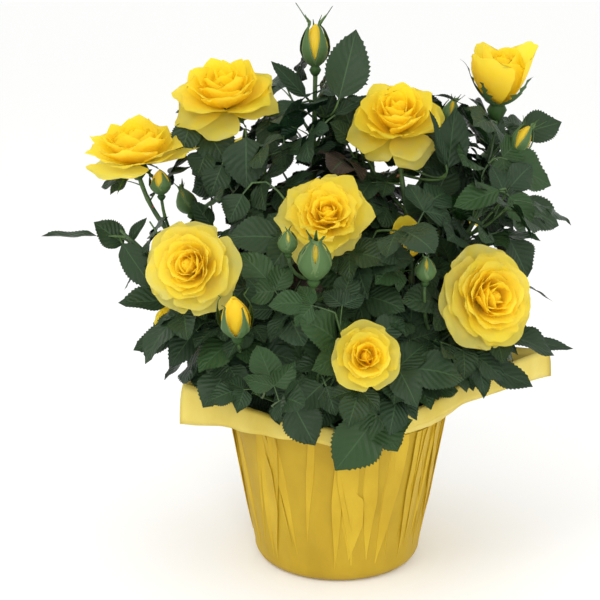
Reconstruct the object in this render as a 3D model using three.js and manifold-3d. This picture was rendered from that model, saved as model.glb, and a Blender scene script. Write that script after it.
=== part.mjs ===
// A patio rose bush in a round pot that stands in a pleated paper gift cover.
// Millimetres, +Z up. The origin is the middle of the cover's flat underside, and people look at it from -Y.
//
// Five canes stand on the soil. Long shoots are carried by boughs, and each bough ends where one mass of
// foliage begins. Short spurs stand straight on a cane. A mass grows from one stem: leaves stand round it in a
// spiral, and the stem ends in a bloom, a bud or a last leaf. Every mass keeps to the space round its stem.

import * as THREE from "three";
import { mergeVertices } from "three/addons/utils/BufferGeometryUtils.js";
import Module from "manifold-3d";

const wasm = await Module();
wasm.setup();

// ---- Driving sizes ----------------------------------------------------------------------------------------

const SEAT_GAP = 0.3; // between two pieces that rest on each other

// The nursery pot, of the 150 mm size, stands on the cover's floor.
const POT = {
  footRadius: 54,
  heelRadius: 58.5,
  heelHeight: 9,
  bodyRadius: 70.8,
  rimRadius: 73.4,
  rimHeight: 13,
  top: 109,
  wall: 2,
  columns: 20,
};
const SOIL_TOP = 97;

// The cover is a paper cup pressed into pleats round the pot.
const COVER = {
  sheet: 1.2,
  top: 110,
  topRadius: 77.6,
  clearance: 0.6,
  pleats: 17,
  pleatDepth: 3.2,
  pleatWidth: 8, // degrees, half the foot of one fold
  slant: 9, // degrees that a fold may lean over the whole height
  columns: 51,
};

// The collar flares from the cover's edge to a folded hem with four corners.
const COLLAR = {
  sheet: 1,
  columns: 36,
  innerRadius: 75.4,
  base: 110.4,
  hemSpread: 4,
  corners: [
    { azimuth: 8, reach: 155, height: 144, hem: 20 },
    { azimuth: 98, reach: 138, height: 138, hem: 20 },
    { azimuth: 186, reach: 110, height: 130, hem: 30 },
    { azimuth: 268, reach: 93, height: 124, hem: 8 },
  ],
  sag: 0.48, // how far an edge between two corners draws in towards the pot
  squareness: 0.8, // below 1 an edge runs nearly straight from corner to corner
  hemSag: 0.6, // share of the sag by which the hem is shallower between two corners
  leastFlare: 9,
};

const CANE = {
  footRadius: 5,
  neckRadius: 3.8,
  neckShare: 0.15, // of the cane's length
  tipRadius: 3,
  ring: 21,
  forkReach: 36,
  forkHeight: 158,
};
const CANES = { front: 272, right: 344, back_right: 56, back_left: 128, left: 200 };

const BOUGH = { rootRadius: 2.4, share: 0.36 };
const STEM = { rootRadius: 2.1, tipRadius: 1.5 };
// How a shoot's line is drawn, as shares of its length and of a step outwards.
const SHOOT = {
  low: 0.5, // a shoot that starts below this share of its cane leaves it flatter
  lowRise: 0.45,
  highRise: 1.1,
  rootPull: 0.36,
  tipPull: 0.34,
  tipRise: 0.9,
};
const LEAF = {
  spacing: 15,
  stalk: 1.9,
  thickness: 1,
  leave: 58, // degrees between the stem and a leaf
  bend: 0.55, // how far a leaf hangs over
  arch: 0.12, // fall of the side leaflets' tips, as a share of their reach
  turn: 137.5, // degrees from one leaf to the next
  tries: 14,
};
// One leaf: where each leaflet leaves the stalk, its angle from it, its length and its width.
const LEAFLETS = [
  { root: 21, angle: -62, length: 36, width: 26 },
  { root: 39, angle: 0, length: 43, width: 32 },
  { root: 21, angle: 62, length: 36, width: 26 },
];
const WIDEST = 0.42; // share of a leaflet's length at its shoulders
// What the points of a mass keep from other masses, from canes and flowers, and from the soil and the paper.
const CLEARANCE = { blade: 4, wood: 4, cane: 4.8, flower: 1, soil: 3, paper: 3, hang: 34 };
const PROBE = 4.4; // between the points that stand for a blade

// Each shoot on a bough: its cane, how far up the cane the bough starts, and the azimuth, reach and height of
// its tip. face is the azimuth and elevation that the tip looks towards.
const SHOOTS = {
  upper_left: { cane: "back_left", start: 0.95, tip: [173, 78, 322], face: [262, 50], flower: "bloom", size: 69 },
  far_left: { cane: "left", start: 0.9, tip: [184, 138, 286], face: [256, 58], flower: "bloom", size: 74 },
  left_front: { cane: "left", start: 0.74, tip: [218, 118, 227], face: [250, 18], flower: "bloom", size: 63 },
  centre: { cane: "front", start: 0.97, tip: [262, 66, 256], face: [264, 34], flower: "bloom", size: 65 },
  upper_right: { cane: "right", start: 0.97, tip: [345, 40, 308], face: [264, 46], flower: "bloom", size: 66 },
  right_front: { cane: "right", start: 0.55, tip: [323, 113, 205], face: [294, 18], flower: "bloom", size: 68 },
  top_right: { cane: "back_right", start: 0.72, tip: [11, 112, 323], face: [280, 78], flower: "cup", size: 42 },
  top: { cane: "back_left", start: 0.62, tip: [118, 35, 348], face: [100, 86], flower: "bud", size: 21 },
  inner_right: { cane: "front", start: 0.78, tip: [318, 57, 228], face: [285, 55], flower: "cup", size: 24 },
  right_mid: { cane: "right", start: 0.72, tip: [352, 98, 256], face: [350, 34], flower: "none" },
  back_top: { cane: "back_right", start: 0.95, tip: [75, 82, 300], face: [70, 58], flower: "bloom", size: 66 },
  back_left: { cane: "back_left", start: 0.8, tip: [135, 112, 268], face: [132, 38], flower: "bloom", size: 64 },
  back_centre: { cane: "back_left", start: 0.4, tip: [100, 122, 215], face: [96, 22], flower: "bloom", size: 62 },
  back_right: { cane: "back_right", start: 0.55, tip: [45, 130, 240], face: [42, 30], flower: "bloom", size: 67 },
};

// Spurs stand straight on their cane.
const SPURS = {
  low_front: { cane: "front", start: 0.5, tip: [277, 110, 177], face: [272, 24], flower: "bloom", size: 46 },
  left_arm: { cane: "left", start: 0.5, tip: [191, 150, 243], face: [190, 8], flower: "none" },
  left_low: { cane: "left", start: 0.36, tip: [192, 104, 178], face: [190, 20], flower: "cup", size: 26 },
  back_low_left: { cane: "back_left", start: 0.25, tip: [148, 116, 172], face: [150, 12], flower: "cup", size: 32 },
  back_low_right: { cane: "back_right", start: 0.3, tip: [36, 112, 160], face: [38, 4], flower: "none" },
  back_skirt: { cane: "back_left", start: 0.18, tip: [92, 100, 148], face: [92, -6], flower: "none" },
  skirt_left: { cane: "left", start: 0.24, tip: [228, 98, 150], face: [226, -8], flower: "none" },
  skirt_front: { cane: "front", start: 0.3, tip: [258, 92, 148], face: [266, -18], flower: "none" },
  skirt_right: { cane: "front", start: 0.4, tip: [297, 94, 158], face: [300, -4], flower: "none" },
  right_low: { cane: "right", start: 0.35, tip: [338, 116, 168], face: [340, 2], flower: "none" },
  crown: { cane: "back_right", start: 0.85, tip: [44, 30, 318], face: [270, 84], flower: "none" },
  crown_left: { cane: "left", start: 0.8, tip: [160, 60, 284], face: [165, 70], flower: "none" },
  fill_left: { cane: "left", start: 0.62, tip: [232, 78, 196], face: [225, 40], flower: "none" },
  fill_front_left: { cane: "front", start: 0.62, tip: [240, 80, 205], face: [245, 36], flower: "none" },
  fill_front_right: { cane: "front", start: 0.6, tip: [312, 92, 178], face: [310, 20], flower: "none" },
  fill_right: { cane: "right", start: 0.86, tip: [14, 84, 228], face: [10, 50], flower: "none" },
};

// Side buds: the shoot that carries each one, how far up its stem it leaves, and its place as above.
const SIDE_BUDS = [
  { shoot: "far_left", leaves: 0.45, tip: [190, 122, 266], face: [250, 84], size: 15 },
  { shoot: "centre", leaves: 0.3, tip: [260, 107, 227], face: [280, 78], size: 21 },
  { shoot: "centre", leaves: 0.42, tip: [249, 96, 240], face: [255, 80], size: 13 },
  { shoot: "upper_right", leaves: 0.5, tip: [22, 82, 308], face: [30, 70], size: 13 },
  { shoot: "right_front", leaves: 0.3, tip: [303, 96, 220], face: [280, 80], size: 14 },
  { shoot: "top_right", leaves: 0.5, tip: [5, 122, 290], face: [10, 62], size: 15 },
  { shoot: "left_front", leaves: 0.25, tip: [238, 124, 191], face: [262, 66], size: 21 },
  { shoot: "back_right", leaves: 0.5, tip: [32, 128, 268], face: [30, 70], size: 15 },
  { shoot: "back_left", leaves: 0.4, tip: [152, 122, 240], face: [150, 66], size: 16 },
];

// An open bloom and a half-open cup, from the stem round the edge to the heart: each ring's radius and height
// as shares of the flower's radius, and how deeply the petals of its whorl are notched apart.
const BLOOM_RINGS = [
  [0.3, 0, 0],
  [1, 0.1, 0.2],
  [0.64, 0.16, 0],
  [0.8, 0.38, 0.16],
  [0.42, 0.34, 0],
  [0.46, 0.56, 0.12],
];
const CUP_RINGS = [
  [0.6, 0.25, 0],
  [0.95, 0.95, 0.04],
  [1, 1.75, 0.16],
  [0.66, 1.6, 0.06],
  [0.5, 1.85, 0.12],
];
const FLOWER = { petals: 5, columns: 15, cupColumns: 10, hip: 5 };
// The space round a flower, as shares of its width: its middle, radius and half height.
const OPEN_SPACE = { middle: 0.14, radius: 0.52, height: 0.26 };
const CLOSED_SPACE = { middle: 0.55, radius: 0.6, height: 0.95 };
// A bud as shares of its width. Only a bud wider than "showing" shows its sepals.
const BUD = {
  egg: [[0, -0.3], [0.22, -0.1], [0.5, 0.4], [0.3, 0.95], [0, 1.3]],
  columns: 7,
  showing: 18,
  sepals: 3,
  sepalRoot: [0.3, 0.2],
  sepalRadius: 0.13,
  sepalLength: 1.5,
};

const COLOURS = {
  leaf: 0x2f4a34,
  cane: 0x4a5a35,
  cover: 0xd9b632,
  collar: 0xe6cf5c,
  pot: 0x3a3a38,
  soil: 0x3b2a1e,
};

// ---- Small helpers ----------------------------------------------------------------------------------------

const { degToRad, lerp, clamp, smoothstep } = THREE.MathUtils;
const UP = new THREE.Vector3(0, 0, 1);
const TURN = 360;

const vector = (x, y, z) => new THREE.Vector3(x, y, z);

const polar = (azimuth, reach, height) =>
  vector(reach * Math.cos(degToRad(azimuth)), reach * Math.sin(degToRad(azimuth)), height);

const heading = (azimuth, elevation) =>
  polar(azimuth, Math.cos(degToRad(elevation)), Math.sin(degToRad(elevation)));

// The same draw from 0 to 1 for the same keys, whatever was drawn before.
function chance(...keys) {
  const weights = [12.9898, 78.233, 37.719, 4.581];
  const sum = keys.reduce((total, key, i) => total + key * weights[i], 0);
  const value = Math.sin(sum) * 43758.5453;
  return value - Math.floor(value);
}

const between = (low, high, ...keys) => lerp(low, high, chance(...keys));

// a + b times s
const along = (a, b, s) => a.clone().addScaledVector(b, s);

const azimuthOf = (x, y) => THREE.MathUtils.radToDeg(Math.atan2(y, x));

// Degrees from one azimuth to another, from -180 to 180.
const turnTo = (from, to) => ((((to - from) % TURN) + TURN * 1.5) % TURN) - TURN / 2;

function warped(geometry, move) {
  const position = geometry.getAttribute("position");
  const point = vector(0, 0, 0);
  for (let i = 0; i < position.count; i++) {
    move(point.fromBufferAttribute(position, i));
    position.setXYZ(i, point.x, point.y, point.z);
  }
  return geometry;
}

function solidOf(geometry) {
  geometry.deleteAttribute("normal");
  geometry.deleteAttribute("uv");
  const merged = mergeVertices(geometry, 1e-4);
  return new wasm.Manifold(
    new wasm.Mesh({
      numProp: 3,
      vertProperties: merged.getAttribute("position").array,
      triVerts: new Uint32Array(merged.getIndex().array),
    }),
  );
}

// Joins solids, keeps the largest body, and so drops loose scraps and fills sealed hollows.
function fused(solids) {
  const joined = solids.reduce((whole, part) => whole.add(part));
  return joined.decompose().reduce((a, b) => (a.volume() > b.volume() ? a : b));
}

function geometryOf(manifold) {
  const mesh = manifold.getMesh();
  return new THREE.BufferGeometry()
    .setAttribute("position", new THREE.BufferAttribute(mesh.vertProperties, 3))
    .setIndex(new THREE.BufferAttribute(mesh.triVerts, 1));
}

const bush = new THREE.Group();

function addMesh(name, geometry, color, roughness = 0.7) {
  const material = new THREE.MeshStandardMaterial({ color, roughness, metalness: 0 });
  const mesh = new THREE.Mesh(geometry, material);
  mesh.name = name;
  bush.add(mesh);
}

// A round limb along a curve, with its radius given by a function of the share of its length.
function limb(path, radiusAt, sides, steps) {
  const frames = path.computeFrenetFrames(steps);
  return warped(new THREE.CylinderGeometry(1, 1, 1, sides, steps), (p) => {
    const share = p.y + 0.5;
    const step = Math.round(share * steps);
    const radius = radiusAt(share);
    const across = p.x * radius;
    const up = -p.z * radius;
    p.copy(path.getPointAt(share));
    p.addScaledVector(frames.normals[step], across).addScaledVector(frames.binormals[step], up);
  });
}

// The stretch of a curve between two shares of its length.
function stretch(path, from, to, points = 6) {
  const shares = Array.from({ length: points }, (_, i) => lerp(from, to, i / (points - 1)));
  return new THREE.CatmullRomCurve3(shares.map((share) => path.getPointAt(share)));
}

const taper = (root, tip) => (share) => lerp(root, tip, share);

// ---- Pot, soil, cover and collar --------------------------------------------------------------------------

const profile = (...points) => points.map(([radius, height]) => new THREE.Vector2(radius, height));

const potFloor = COVER.sheet + SEAT_GAP;

function makePot() {
  const rimFoot = POT.top - POT.rimHeight;
  const inside = POT.rimRadius - POT.wall;
  const insideFoot = POT.bodyRadius - POT.wall;
  return new THREE.LatheGeometry(
    profile(
      [0, potFloor],
      [POT.footRadius, potFloor],
      [POT.heelRadius, potFloor + POT.heelHeight],
      [POT.bodyRadius, rimFoot],
      [POT.rimRadius, rimFoot],
      [POT.rimRadius, POT.top],
      [inside, POT.top],
      [insideFoot, rimFoot],
      [POT.heelRadius - POT.wall, potFloor + POT.heelHeight],
      [POT.footRadius - POT.wall, potFloor + POT.wall],
      [0, potFloor + POT.wall],
    ),
    POT.columns,
  );
}

function makeSoil() {
  const inset = POT.wall + SEAT_GAP;
  const floor = potFloor + POT.wall + SEAT_GAP;
  return new THREE.LatheGeometry(
    profile(
      [0, floor],
      [POT.footRadius - inset - 1, floor],
      [POT.heelRadius - inset, potFloor + POT.heelHeight],
      [POT.bodyRadius - inset - 0.4, SOIL_TOP - 1.5],
      [POT.bodyRadius - inset - 8, SOIL_TOP],
      [0, SOIL_TOP],
    ),
    POT.columns,
  );
}

// How far the folds lift the cover's paper at one azimuth, for a share of its height.
function pleatLift(azimuth, share) {
  let lift = 0;
  for (let i = 0; i < COVER.pleats; i++) {
    const middle = ((i + between(-0.3, 0.3, i, 1)) * TURN) / COVER.pleats;
    const lean = between(-1, 1, i, 2) * COVER.slant * (share - 0.5);
    const foot = between(0.02, 0.3, i, 3);
    const width = COVER.pleatWidth * between(0.7, 1.2, i, 4);
    const away = turnTo(middle + lean, azimuth) / width;
    const ridge = away < 0 ? 1 + away * 2.2 : 1 - away;
    const reach = smoothstep(share, foot - 0.35, foot) * between(0.5, 1, i, 5);
    lift = Math.max(lift, ridge * reach);
  }
  return clamp(lift, 0, 1) * COVER.pleatDepth;
}

function makeCover() {
  const outer = COVER.clearance + COVER.sheet;
  const heel = COVER.sheet + POT.heelHeight;
  const heelRadius = POT.heelRadius + outer;
  const wallRadius = (share) => lerp(heelRadius, COVER.topRadius, share);
  const rows = [0, 0.35, 0.7, 1].map((share) => [wallRadius(share), lerp(heel, COVER.top, share)]);
  const cup = new THREE.LatheGeometry(
    profile(
      [0, 0],
      [POT.footRadius, 0],
      [lerp(POT.footRadius, POT.heelRadius, 0.7) + outer, COVER.sheet * 2.4],
      ...rows,
      [COVER.topRadius - COVER.sheet, COVER.top],
      [heelRadius - COVER.sheet, heel],
      [POT.footRadius + COVER.clearance, COVER.sheet],
      [0, COVER.sheet],
    ),
    COVER.columns,
  );
  return warped(cup, (p) => {
    const radius = Math.hypot(p.x, p.z);
    const share = clamp((p.y - heel) / (COVER.top - heel), 0, 1);
    if (p.y < heel - 0.1 || radius < wallRadius(share) - 0.1) return;
    const swell = 1 + pleatLift(azimuthOf(p.x, -p.z), share) / radius;
    p.set(p.x * swell, p.y, p.z * swell);
  });
}

// The collar's folded edge at one azimuth: its reach, its height and the depth of its hem.
function collarEdge(azimuth) {
  const corners = COLLAR.corners;
  const turned = ((azimuth % TURN) + TURN) % TURN;
  const last = corners.findLastIndex((corner) => corner.azimuth <= turned);
  const from = corners.at(last);
  const to = corners[(last + 1) % corners.length];
  const share = ((turned - from.azimuth + TURN) % TURN) / ((to.azimuth - from.azimuth + TURN) % TURN);
  const blend = smoothstep(share, 0, 1);
  const draw = 1 - COLLAR.sag * Math.sin(Math.PI * share) ** COLLAR.squareness;
  const flare = lerp(from.reach, to.reach, blend) - COLLAR.innerRadius;
  return {
    reach: COLLAR.innerRadius + Math.max(COLLAR.leastFlare, flare * draw ** 2.2),
    height: lerp(from.height, to.height, blend),
    hem: lerp(from.hem, to.hem, blend) * lerp(1, draw, COLLAR.hemSag),
  };
}

// The collar's rings, each a share of the way from its seat to the folded edge; the last is the hem's foot.
const COLLAR_RINGS = [0, 0.42, 1, 1.5];

function collarPoint(azimuth, place, upper) {
  const fold = collarEdge(azimuth);
  const sheet = upper ? COLLAR.sheet : 0;
  if (place > 1) return [fold.reach + COLLAR.hemSpread - 1 + sheet * 1.4, fold.height - fold.hem + sheet];
  const reach = lerp(COLLAR.innerRadius, fold.reach, place);
  const height = lerp(COLLAR.base, fold.height, place ** 1.5);
  return place === 1 ? [reach, height + sheet * 1.6] : [reach - sheet * 0.5, height + sheet];
}

function makeCollar() {
  const last = COLLAR_RINGS.length - 1;
  const under = COLLAR_RINGS.map((_, ring) => [ring + 1, 0]);
  const upper = COLLAR_RINGS.map((_, ring) => [last - ring + 1, 1]);
  const flat = new THREE.LatheGeometry(profile(...under, ...upper, under[0]), COLLAR.columns);
  return warped(flat, (p) => {
    const ring = Math.round(Math.hypot(p.x, p.z)) - 1;
    const azimuth = azimuthOf(p.x, -p.z);
    const [reach, height] = collarPoint(azimuth, COLLAR_RINGS[ring], p.y > 0.5);
    const spot = polar(azimuth, reach, height);
    p.set(spot.x, spot.z, -spot.y);
  });
}

// True where a point lies clear above, or out past, the pot and the collar.
function clearOfPot(p) {
  const azimuth = azimuthOf(p.x, p.y);
  const radius = Math.hypot(p.x, p.y);
  const fold = collarEdge(azimuth);
  if (radius < POT.rimRadius - POT.wall) return p.z > SOIL_TOP + CLEARANCE.soil;
  if (radius > fold.reach + COLLAR.hemSpread + CLEARANCE.paper) return p.z > POT.top - CLEARANCE.hang;
  const share = clamp((radius - COLLAR.innerRadius) / (fold.reach - COLLAR.innerRadius), 0, 1);
  return p.z > lerp(COLLAR.base, fold.height, share) + CLEARANCE.paper;
}

// ---- Canes, boughs and the line of every shoot ------------------------------------------------------------

function canePath(azimuth) {
  const foot = polar(azimuth, CANE.ring, SOIL_TOP - 4);
  const bend = polar(azimuth - 8, CANE.ring + 3, lerp(SOIL_TOP, CANE.forkHeight, 0.45));
  return new THREE.CatmullRomCurve3([foot, bend, polar(azimuth + 4, CANE.forkReach, CANE.forkHeight)]);
}

const caneRadius = (share) =>
  share < CANE.neckShare
    ? lerp(CANE.footRadius, CANE.neckRadius, share / CANE.neckShare)
    : lerp(CANE.neckRadius, CANE.tipRadius, (share - CANE.neckShare) / (1 - CANE.neckShare));

const canePaths = Object.fromEntries(
  Object.entries(CANES).map(([name, azimuth]) => [name, canePath(azimuth)]),
);

// From the cane's axis to the shoot's tip: out of the cane sideways and up, and into the tip along its face.
function shootPath({ cane, start, tip, face }) {
  const root = canePaths[cane].getPointAt(start);
  const end = polar(...tip);
  const length = root.distanceTo(end);
  const outward = end.clone().sub(root).setZ(0).normalize();
  const leave = along(outward, UP, start < SHOOT.low ? SHOOT.lowRise : SHOOT.highRise).normalize();
  const arrive = along(heading(...face), UP, SHOOT.tipRise).normalize();
  return new THREE.CubicBezierCurve3(
    root,
    along(root, leave, length * SHOOT.rootPull),
    along(end, arrive, -length * SHOOT.tipPull),
    end,
  );
}

const shoots = Object.entries({ ...SHOOTS, ...SPURS }).map(([name, shoot], index) => ({
  name,
  index,
  ...shoot,
  path: shootPath(shoot),
  facing: heading(...shoot.face),
  from: name in SHOOTS ? BOUGH.share : 0, // where its foliage begins
}));
const shootNamed = (name) => shoots.find((shoot) => shoot.name === name);

// A side bud's stalk leaves its shoot's stem and rises to the bud.
function stalkPath(bud) {
  const { path, from } = shootNamed(bud.shoot);
  const root = path.getPointAt(lerp(from, 1, bud.leaves));
  const end = polar(...bud.tip);
  const length = root.distanceTo(end);
  return new THREE.QuadraticBezierCurve3(root, along(end, heading(...bud.face), -length * 0.5), end);
}

const buds = SIDE_BUDS.map((bud, index) => ({
  ...bud,
  index,
  path: stalkPath(bud),
  facing: heading(...bud.face),
}));

// ---- What each mass keeps clear of ------------------------------------------------------------------------

// An ellipsoid round each flower, flat for an open bloom and long for a bud.
const flowers = [...shoots.filter(({ flower }) => flower !== "none"), ...buds].map((stem) => {
  const space = stem.flower === "bloom" ? OPEN_SPACE : CLOSED_SPACE;
  return {
    at: along(stem.path.getPointAt(1), stem.facing, stem.size * space.middle),
    facing: stem.facing,
    radius: stem.size * space.radius,
    height: stem.size * space.height,
  };
});

// Points of wood and leaf, filed by the cube that each lies in. A mass's leaves may touch only its own stem.
const CUBE = Math.max(CLEARANCE.blade, CLEARANCE.wood);
const NOBODY = -1;
const filed = new Map();
const cubeOf = ({ x, y, z }) => [x, y, z].map((value) => Math.floor(value / CUBE));

function file(points, owner, clearance) {
  for (const at of points) {
    const key = cubeOf(at).join();
    if (!filed.has(key)) filed.set(key, []);
    filed.get(key).push({ at, owner, clearance });
  }
}

const STEPS = [-1, 0, 1];
const AROUND = STEPS.flatMap((x) => STEPS.flatMap((y) => STEPS.map((z) => [x, y, z])));

function clearOfOthers(point, owner) {
  const cube = cubeOf(point);
  return AROUND.every((step) => {
    const near = filed.get(cube.map((value, i) => value + step[i]).join()) ?? [];
    return near.every((other) => other.owner === owner || point.distanceTo(other.at) > other.clearance);
  });
}

const clearOfFlowers = (point) =>
  flowers.every(({ at, facing, radius, height }) => {
    const away = point.clone().sub(at);
    const axial = away.dot(facing);
    const across = Math.sqrt(Math.max(0, away.lengthSq() - axial * axial));
    return Math.hypot(across / (radius + CLEARANCE.flower), axial / (height + CLEARANCE.flower)) > 1;
  });

const allowed = (points, owner) =>
  points.every((point) => clearOfPot(point) && clearOfFlowers(point) && clearOfOthers(point, owner));

const spaced = (path, from = 0) => {
  const count = Math.ceil((path.getLength() * (1 - from)) / 3);
  return Array.from({ length: count + 1 }, (_, i) => path.getPointAt(lerp(from, 1, i / count)));
};

for (const path of Object.values(canePaths)) file(spaced(path), NOBODY, CLEARANCE.cane);
for (const { path, from, index } of shoots) {
  if (from > 0) file(spaced(stretch(path, 0.03, from)), NOBODY, CLEARANCE.wood);
  file(spaced(path, from), index, CLEARANCE.wood);
}
for (const bud of buds) file(spaced(bud.path), shootNamed(bud.shoot).index, CLEARANCE.wood);

// ---- Leaves -----------------------------------------------------------------------------------------------

const leafLength = Math.max(...LEAFLETS.map(({ root, length }) => root + length));

// A point of a leaflet in its leaf's plane: along the leaflet from 0 to 1, and across it from -1 to 1.
function leafletPoint({ root, angle, length, width }, share, across) {
  const point = new THREE.Vector2(share * length, (across * width) / 2);
  return point.rotateAround(new THREE.Vector2(), degToRad(angle)).add(new THREE.Vector2(root, 0));
}

// The leaf's outline in its own plane: up one side of the stalk and round each leaflet, then back.
function leafOutline() {
  const half = LEAF.stalk / 2;
  const round = (leaflet) => [
    leafletPoint(leaflet, WIDEST, -1),
    leafletPoint(leaflet, 1, 0),
    leafletPoint(leaflet, WIDEST, 1),
  ];
  const [right, end, left] = LEAFLETS;
  const edge = (x, side) => new THREE.Vector2(x, side * half);
  const below = right.root - half;
  const above = lerp(right.root, end.root, 0.75);
  return new THREE.Shape([
    ...[edge(0, 1), edge(0, -1), edge(below, -1)],
    ...round(right),
    edge(above, -1),
    ...round(end),
    edge(above, 1),
    ...round(left),
    edge(below, 1),
  ]);
}

// Lays a point of the leaf's plane, with a height over it, on the leaf's own bent line.
function laid({ line, side, size }, onward, across, lift) {
  const share = clamp(onward / leafLength, 0, 1);
  const normal = line.getTangentAt(share).cross(side);
  const fall = Math.max(0, Math.abs(across) - LEAF.stalk) * LEAF.arch;
  const point = line.getPointAt(share).addScaledVector(side, across * size);
  return point.addScaledVector(normal, lift - fall * size);
}

function makeLeaf(leaf) {
  const plate = new THREE.ExtrudeGeometry(leafOutline(), { depth: LEAF.thickness, bevelEnabled: false });
  return solidOf(warped(plate, (p) => p.copy(laid(leaf, p.x, p.y, p.z - LEAF.thickness / 2))));
}

// Points spread over the leaflets and the stalk, for the leaf's clearance.
function leafProbes(leaf) {
  const points = [];
  for (const leaflet of LEAFLETS) {
    const rows = Math.ceil(leaflet.length / PROBE);
    const half = Math.ceil(leaflet.width / 2 / PROBE);
    for (let row = 0; row <= rows; row++) {
      const share = row / rows;
      const reach = Math.min(share / WIDEST, (1 - share) / (1 - WIDEST));
      for (let i = -half; i <= half; i++) {
        const { x, y } = leafletPoint(leaflet, share, (reach * i) / half);
        points.push(laid(leaf, x, y, 0));
      }
    }
  }
  for (let x = PROBE; x < LEAFLETS[1].root; x += PROBE) points.push(laid(leaf, x, 0, 0));
  return points;
}

// A leaf leaves the stem at an angle, bends over under its weight, and turns its face to the light.
function plannedLeaf({ path, index }, node, turn, attempt) {
  const draw = (low, high, key) => between(low, high, index, node * 100, attempt, key);
  const root = path.getPointAt(node);
  const tangent = path.getTangentAt(node);
  const radial = tangent.clone().cross(Math.abs(tangent.z) > 0.95 ? vector(1, 0, 0) : UP).normalize();
  radial.applyAxisAngle(tangent, degToRad(turn));
  const lean = degToRad(LEAF.leave + draw(-14, 14, 1));
  const start = tangent.clone().multiplyScalar(Math.cos(lean)).addScaledVector(radial, Math.sin(lean));
  const size = draw(0.82, 1.08, 2) * (1 - 0.015 * attempt);
  const half = (leafLength * size) / 2;
  const knee = along(root, start, half);
  const fall = along(start, UP, -LEAF.bend * draw(0.5, 1.3, 3)).normalize();
  const line = new THREE.QuadraticBezierCurve3(root, knee, along(knee, fall, half));
  const light = along(root.clone().setZ(0).normalize(), UP, 0.9);
  const side = light.cross(along(start, fall, 1)).normalize();
  return { line, size, side };
}

// Tries a leaf at one node of a stem, turning it further at each try, and files it where it has room.
function growLeaf(shoot, node, turn) {
  for (let attempt = 0; attempt < LEAF.tries; attempt++) {
    const leaf = plannedLeaf(shoot, node, turn + attempt * 67, attempt);
    const probes = leafProbes(leaf);
    if (!allowed(probes, shoot.index)) continue;
    file(probes, NOBODY, CLEARANCE.blade);
    shoot.leaves.push(leaf);
    return;
  }
}

// Leaves are dealt out in rounds, one to each mass, from the tips downwards.
for (const shoot of shoots) {
  shoot.leaves = [];
  const length = shoot.path.getLength() * (1 - shoot.from);
  shoot.nodes = Math.max(5, Math.round(length / LEAF.spacing));
}
for (let round = 0; shoots.some(({ nodes }) => round < nodes); round++)
  for (const shoot of shoots.filter(({ nodes }) => round < nodes)) {
    const last = shoot.flower === "none" ? 0.99 : 0.9;
    const share = lerp(last, shoot.from > 0 ? 0.05 : 0.2, round / (shoot.nodes - 1));
    growLeaf(shoot, lerp(shoot.from, 1, share), round * LEAF.turn + between(0, TURN, shoot.index));
  }

// ---- Flowers ----------------------------------------------------------------------------------------------

// Two directions that square off an axis.
function flowerFrame(axis) {
  const first = axis.clone().cross(Math.abs(axis.z) > 0.9 ? vector(1, 0, 0) : UP).normalize();
  return { axis, first, second: axis.clone().cross(first) };
}

// A round body on an axis, from a profile of radius and height, with each ring notched by a function.
function turned(frame, centre, points, sides, notch = () => 1) {
  const lathe = new THREE.LatheGeometry(profile(...points), sides);
  let vertex = 0;
  return warped(lathe, (p) => {
    const shrink = notch(azimuthOf(p.x, -p.z), vertex++ % points.length);
    const out = along(centre, frame.axis, p.y).addScaledVector(frame.first, p.x * shrink);
    p.copy(out.addScaledVector(frame.second, -p.z * shrink));
  });
}

// A flower's petals as one body: rings round its axis, each notched between the petals of its whorl.
function makeBloom(shoot) {
  const frame = flowerFrame(shoot.facing);
  const tip = shoot.path.getPointAt(1);
  const radius = shoot.size / 2;
  const rings = shoot.flower === "bloom" ? BLOOM_RINGS : CUP_RINGS;
  const top = rings.at(-1)[1] - 0.1;
  const hip = [0, -FLOWER.hip];
  const points = [hip, ...rings.map(([r, h]) => [r * radius, h * radius]), [0, top * radius]];
  const columns = shoot.flower === "bloom" ? FLOWER.columns : FLOWER.cupColumns;
  const flower = turned(frame, tip, points, columns, (angle, ring) => {
    if (ring < 1 || ring > rings.length) return 1;
    const turn = angle + ring * 29 + shoot.index * 50;
    return 1 - rings[ring - 1][2] * (1 - Math.abs(Math.sin(degToRad((turn * FLOWER.petals) / 2))));
  });
  return solidOf(flower);
}

// A closed bud: an egg of petals, its hip, and sepals that stand past its point.
function makeBud(tip, facing, size, key) {
  const frame = flowerFrame(facing);
  const scaled = ([radius, height]) => [radius * size, height * size];
  const [sepalOut, sepalUp] = scaled(BUD.sepalRoot);
  const length = BUD.sepalLength * size;
  const sepals = Array.from({ length: size > BUD.showing ? BUD.sepals : 0 }, (_, i) => {
    const angle = degToRad((i * TURN) / BUD.sepals + 80 * chance(key, i));
    const out = along(frame.first.clone().multiplyScalar(Math.cos(angle)), frame.second, Math.sin(angle));
    const lengthwise = along(facing, out, between(0.25, 0.5, key, i, 3)).normalize();
    const root = along(along(tip, out, sepalOut), facing, sepalUp);
    const point = new THREE.ConeGeometry(BUD.sepalRadius * size, length, 3).translate(0, length / 2, 0);
    point.applyQuaternion(new THREE.Quaternion().setFromUnitVectors(vector(0, 1, 0), lengthwise));
    return solidOf(point.translate(root.x, root.y, root.z));
  });
  return [solidOf(turned(frame, tip, BUD.egg.map(scaled), BUD.columns)), ...sepals];
}

// ---- Assembly ---------------------------------------------------------------------------------------------

// Lathes turn about +Y, so a turned piece is stood up on +Z here.
const stoodUp = (geometry) => geometry.rotateX(Math.PI / 2);

addMesh("pot_cover", stoodUp(makeCover()), COLOURS.cover, 0.6);
addMesh("cover_collar", stoodUp(makeCollar()), COLOURS.collar, 0.6);
addMesh("nursery_pot", stoodUp(makePot()), COLOURS.pot, 0.5);
addMesh("soil", stoodUp(makeSoil()), COLOURS.soil, 1);

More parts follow.
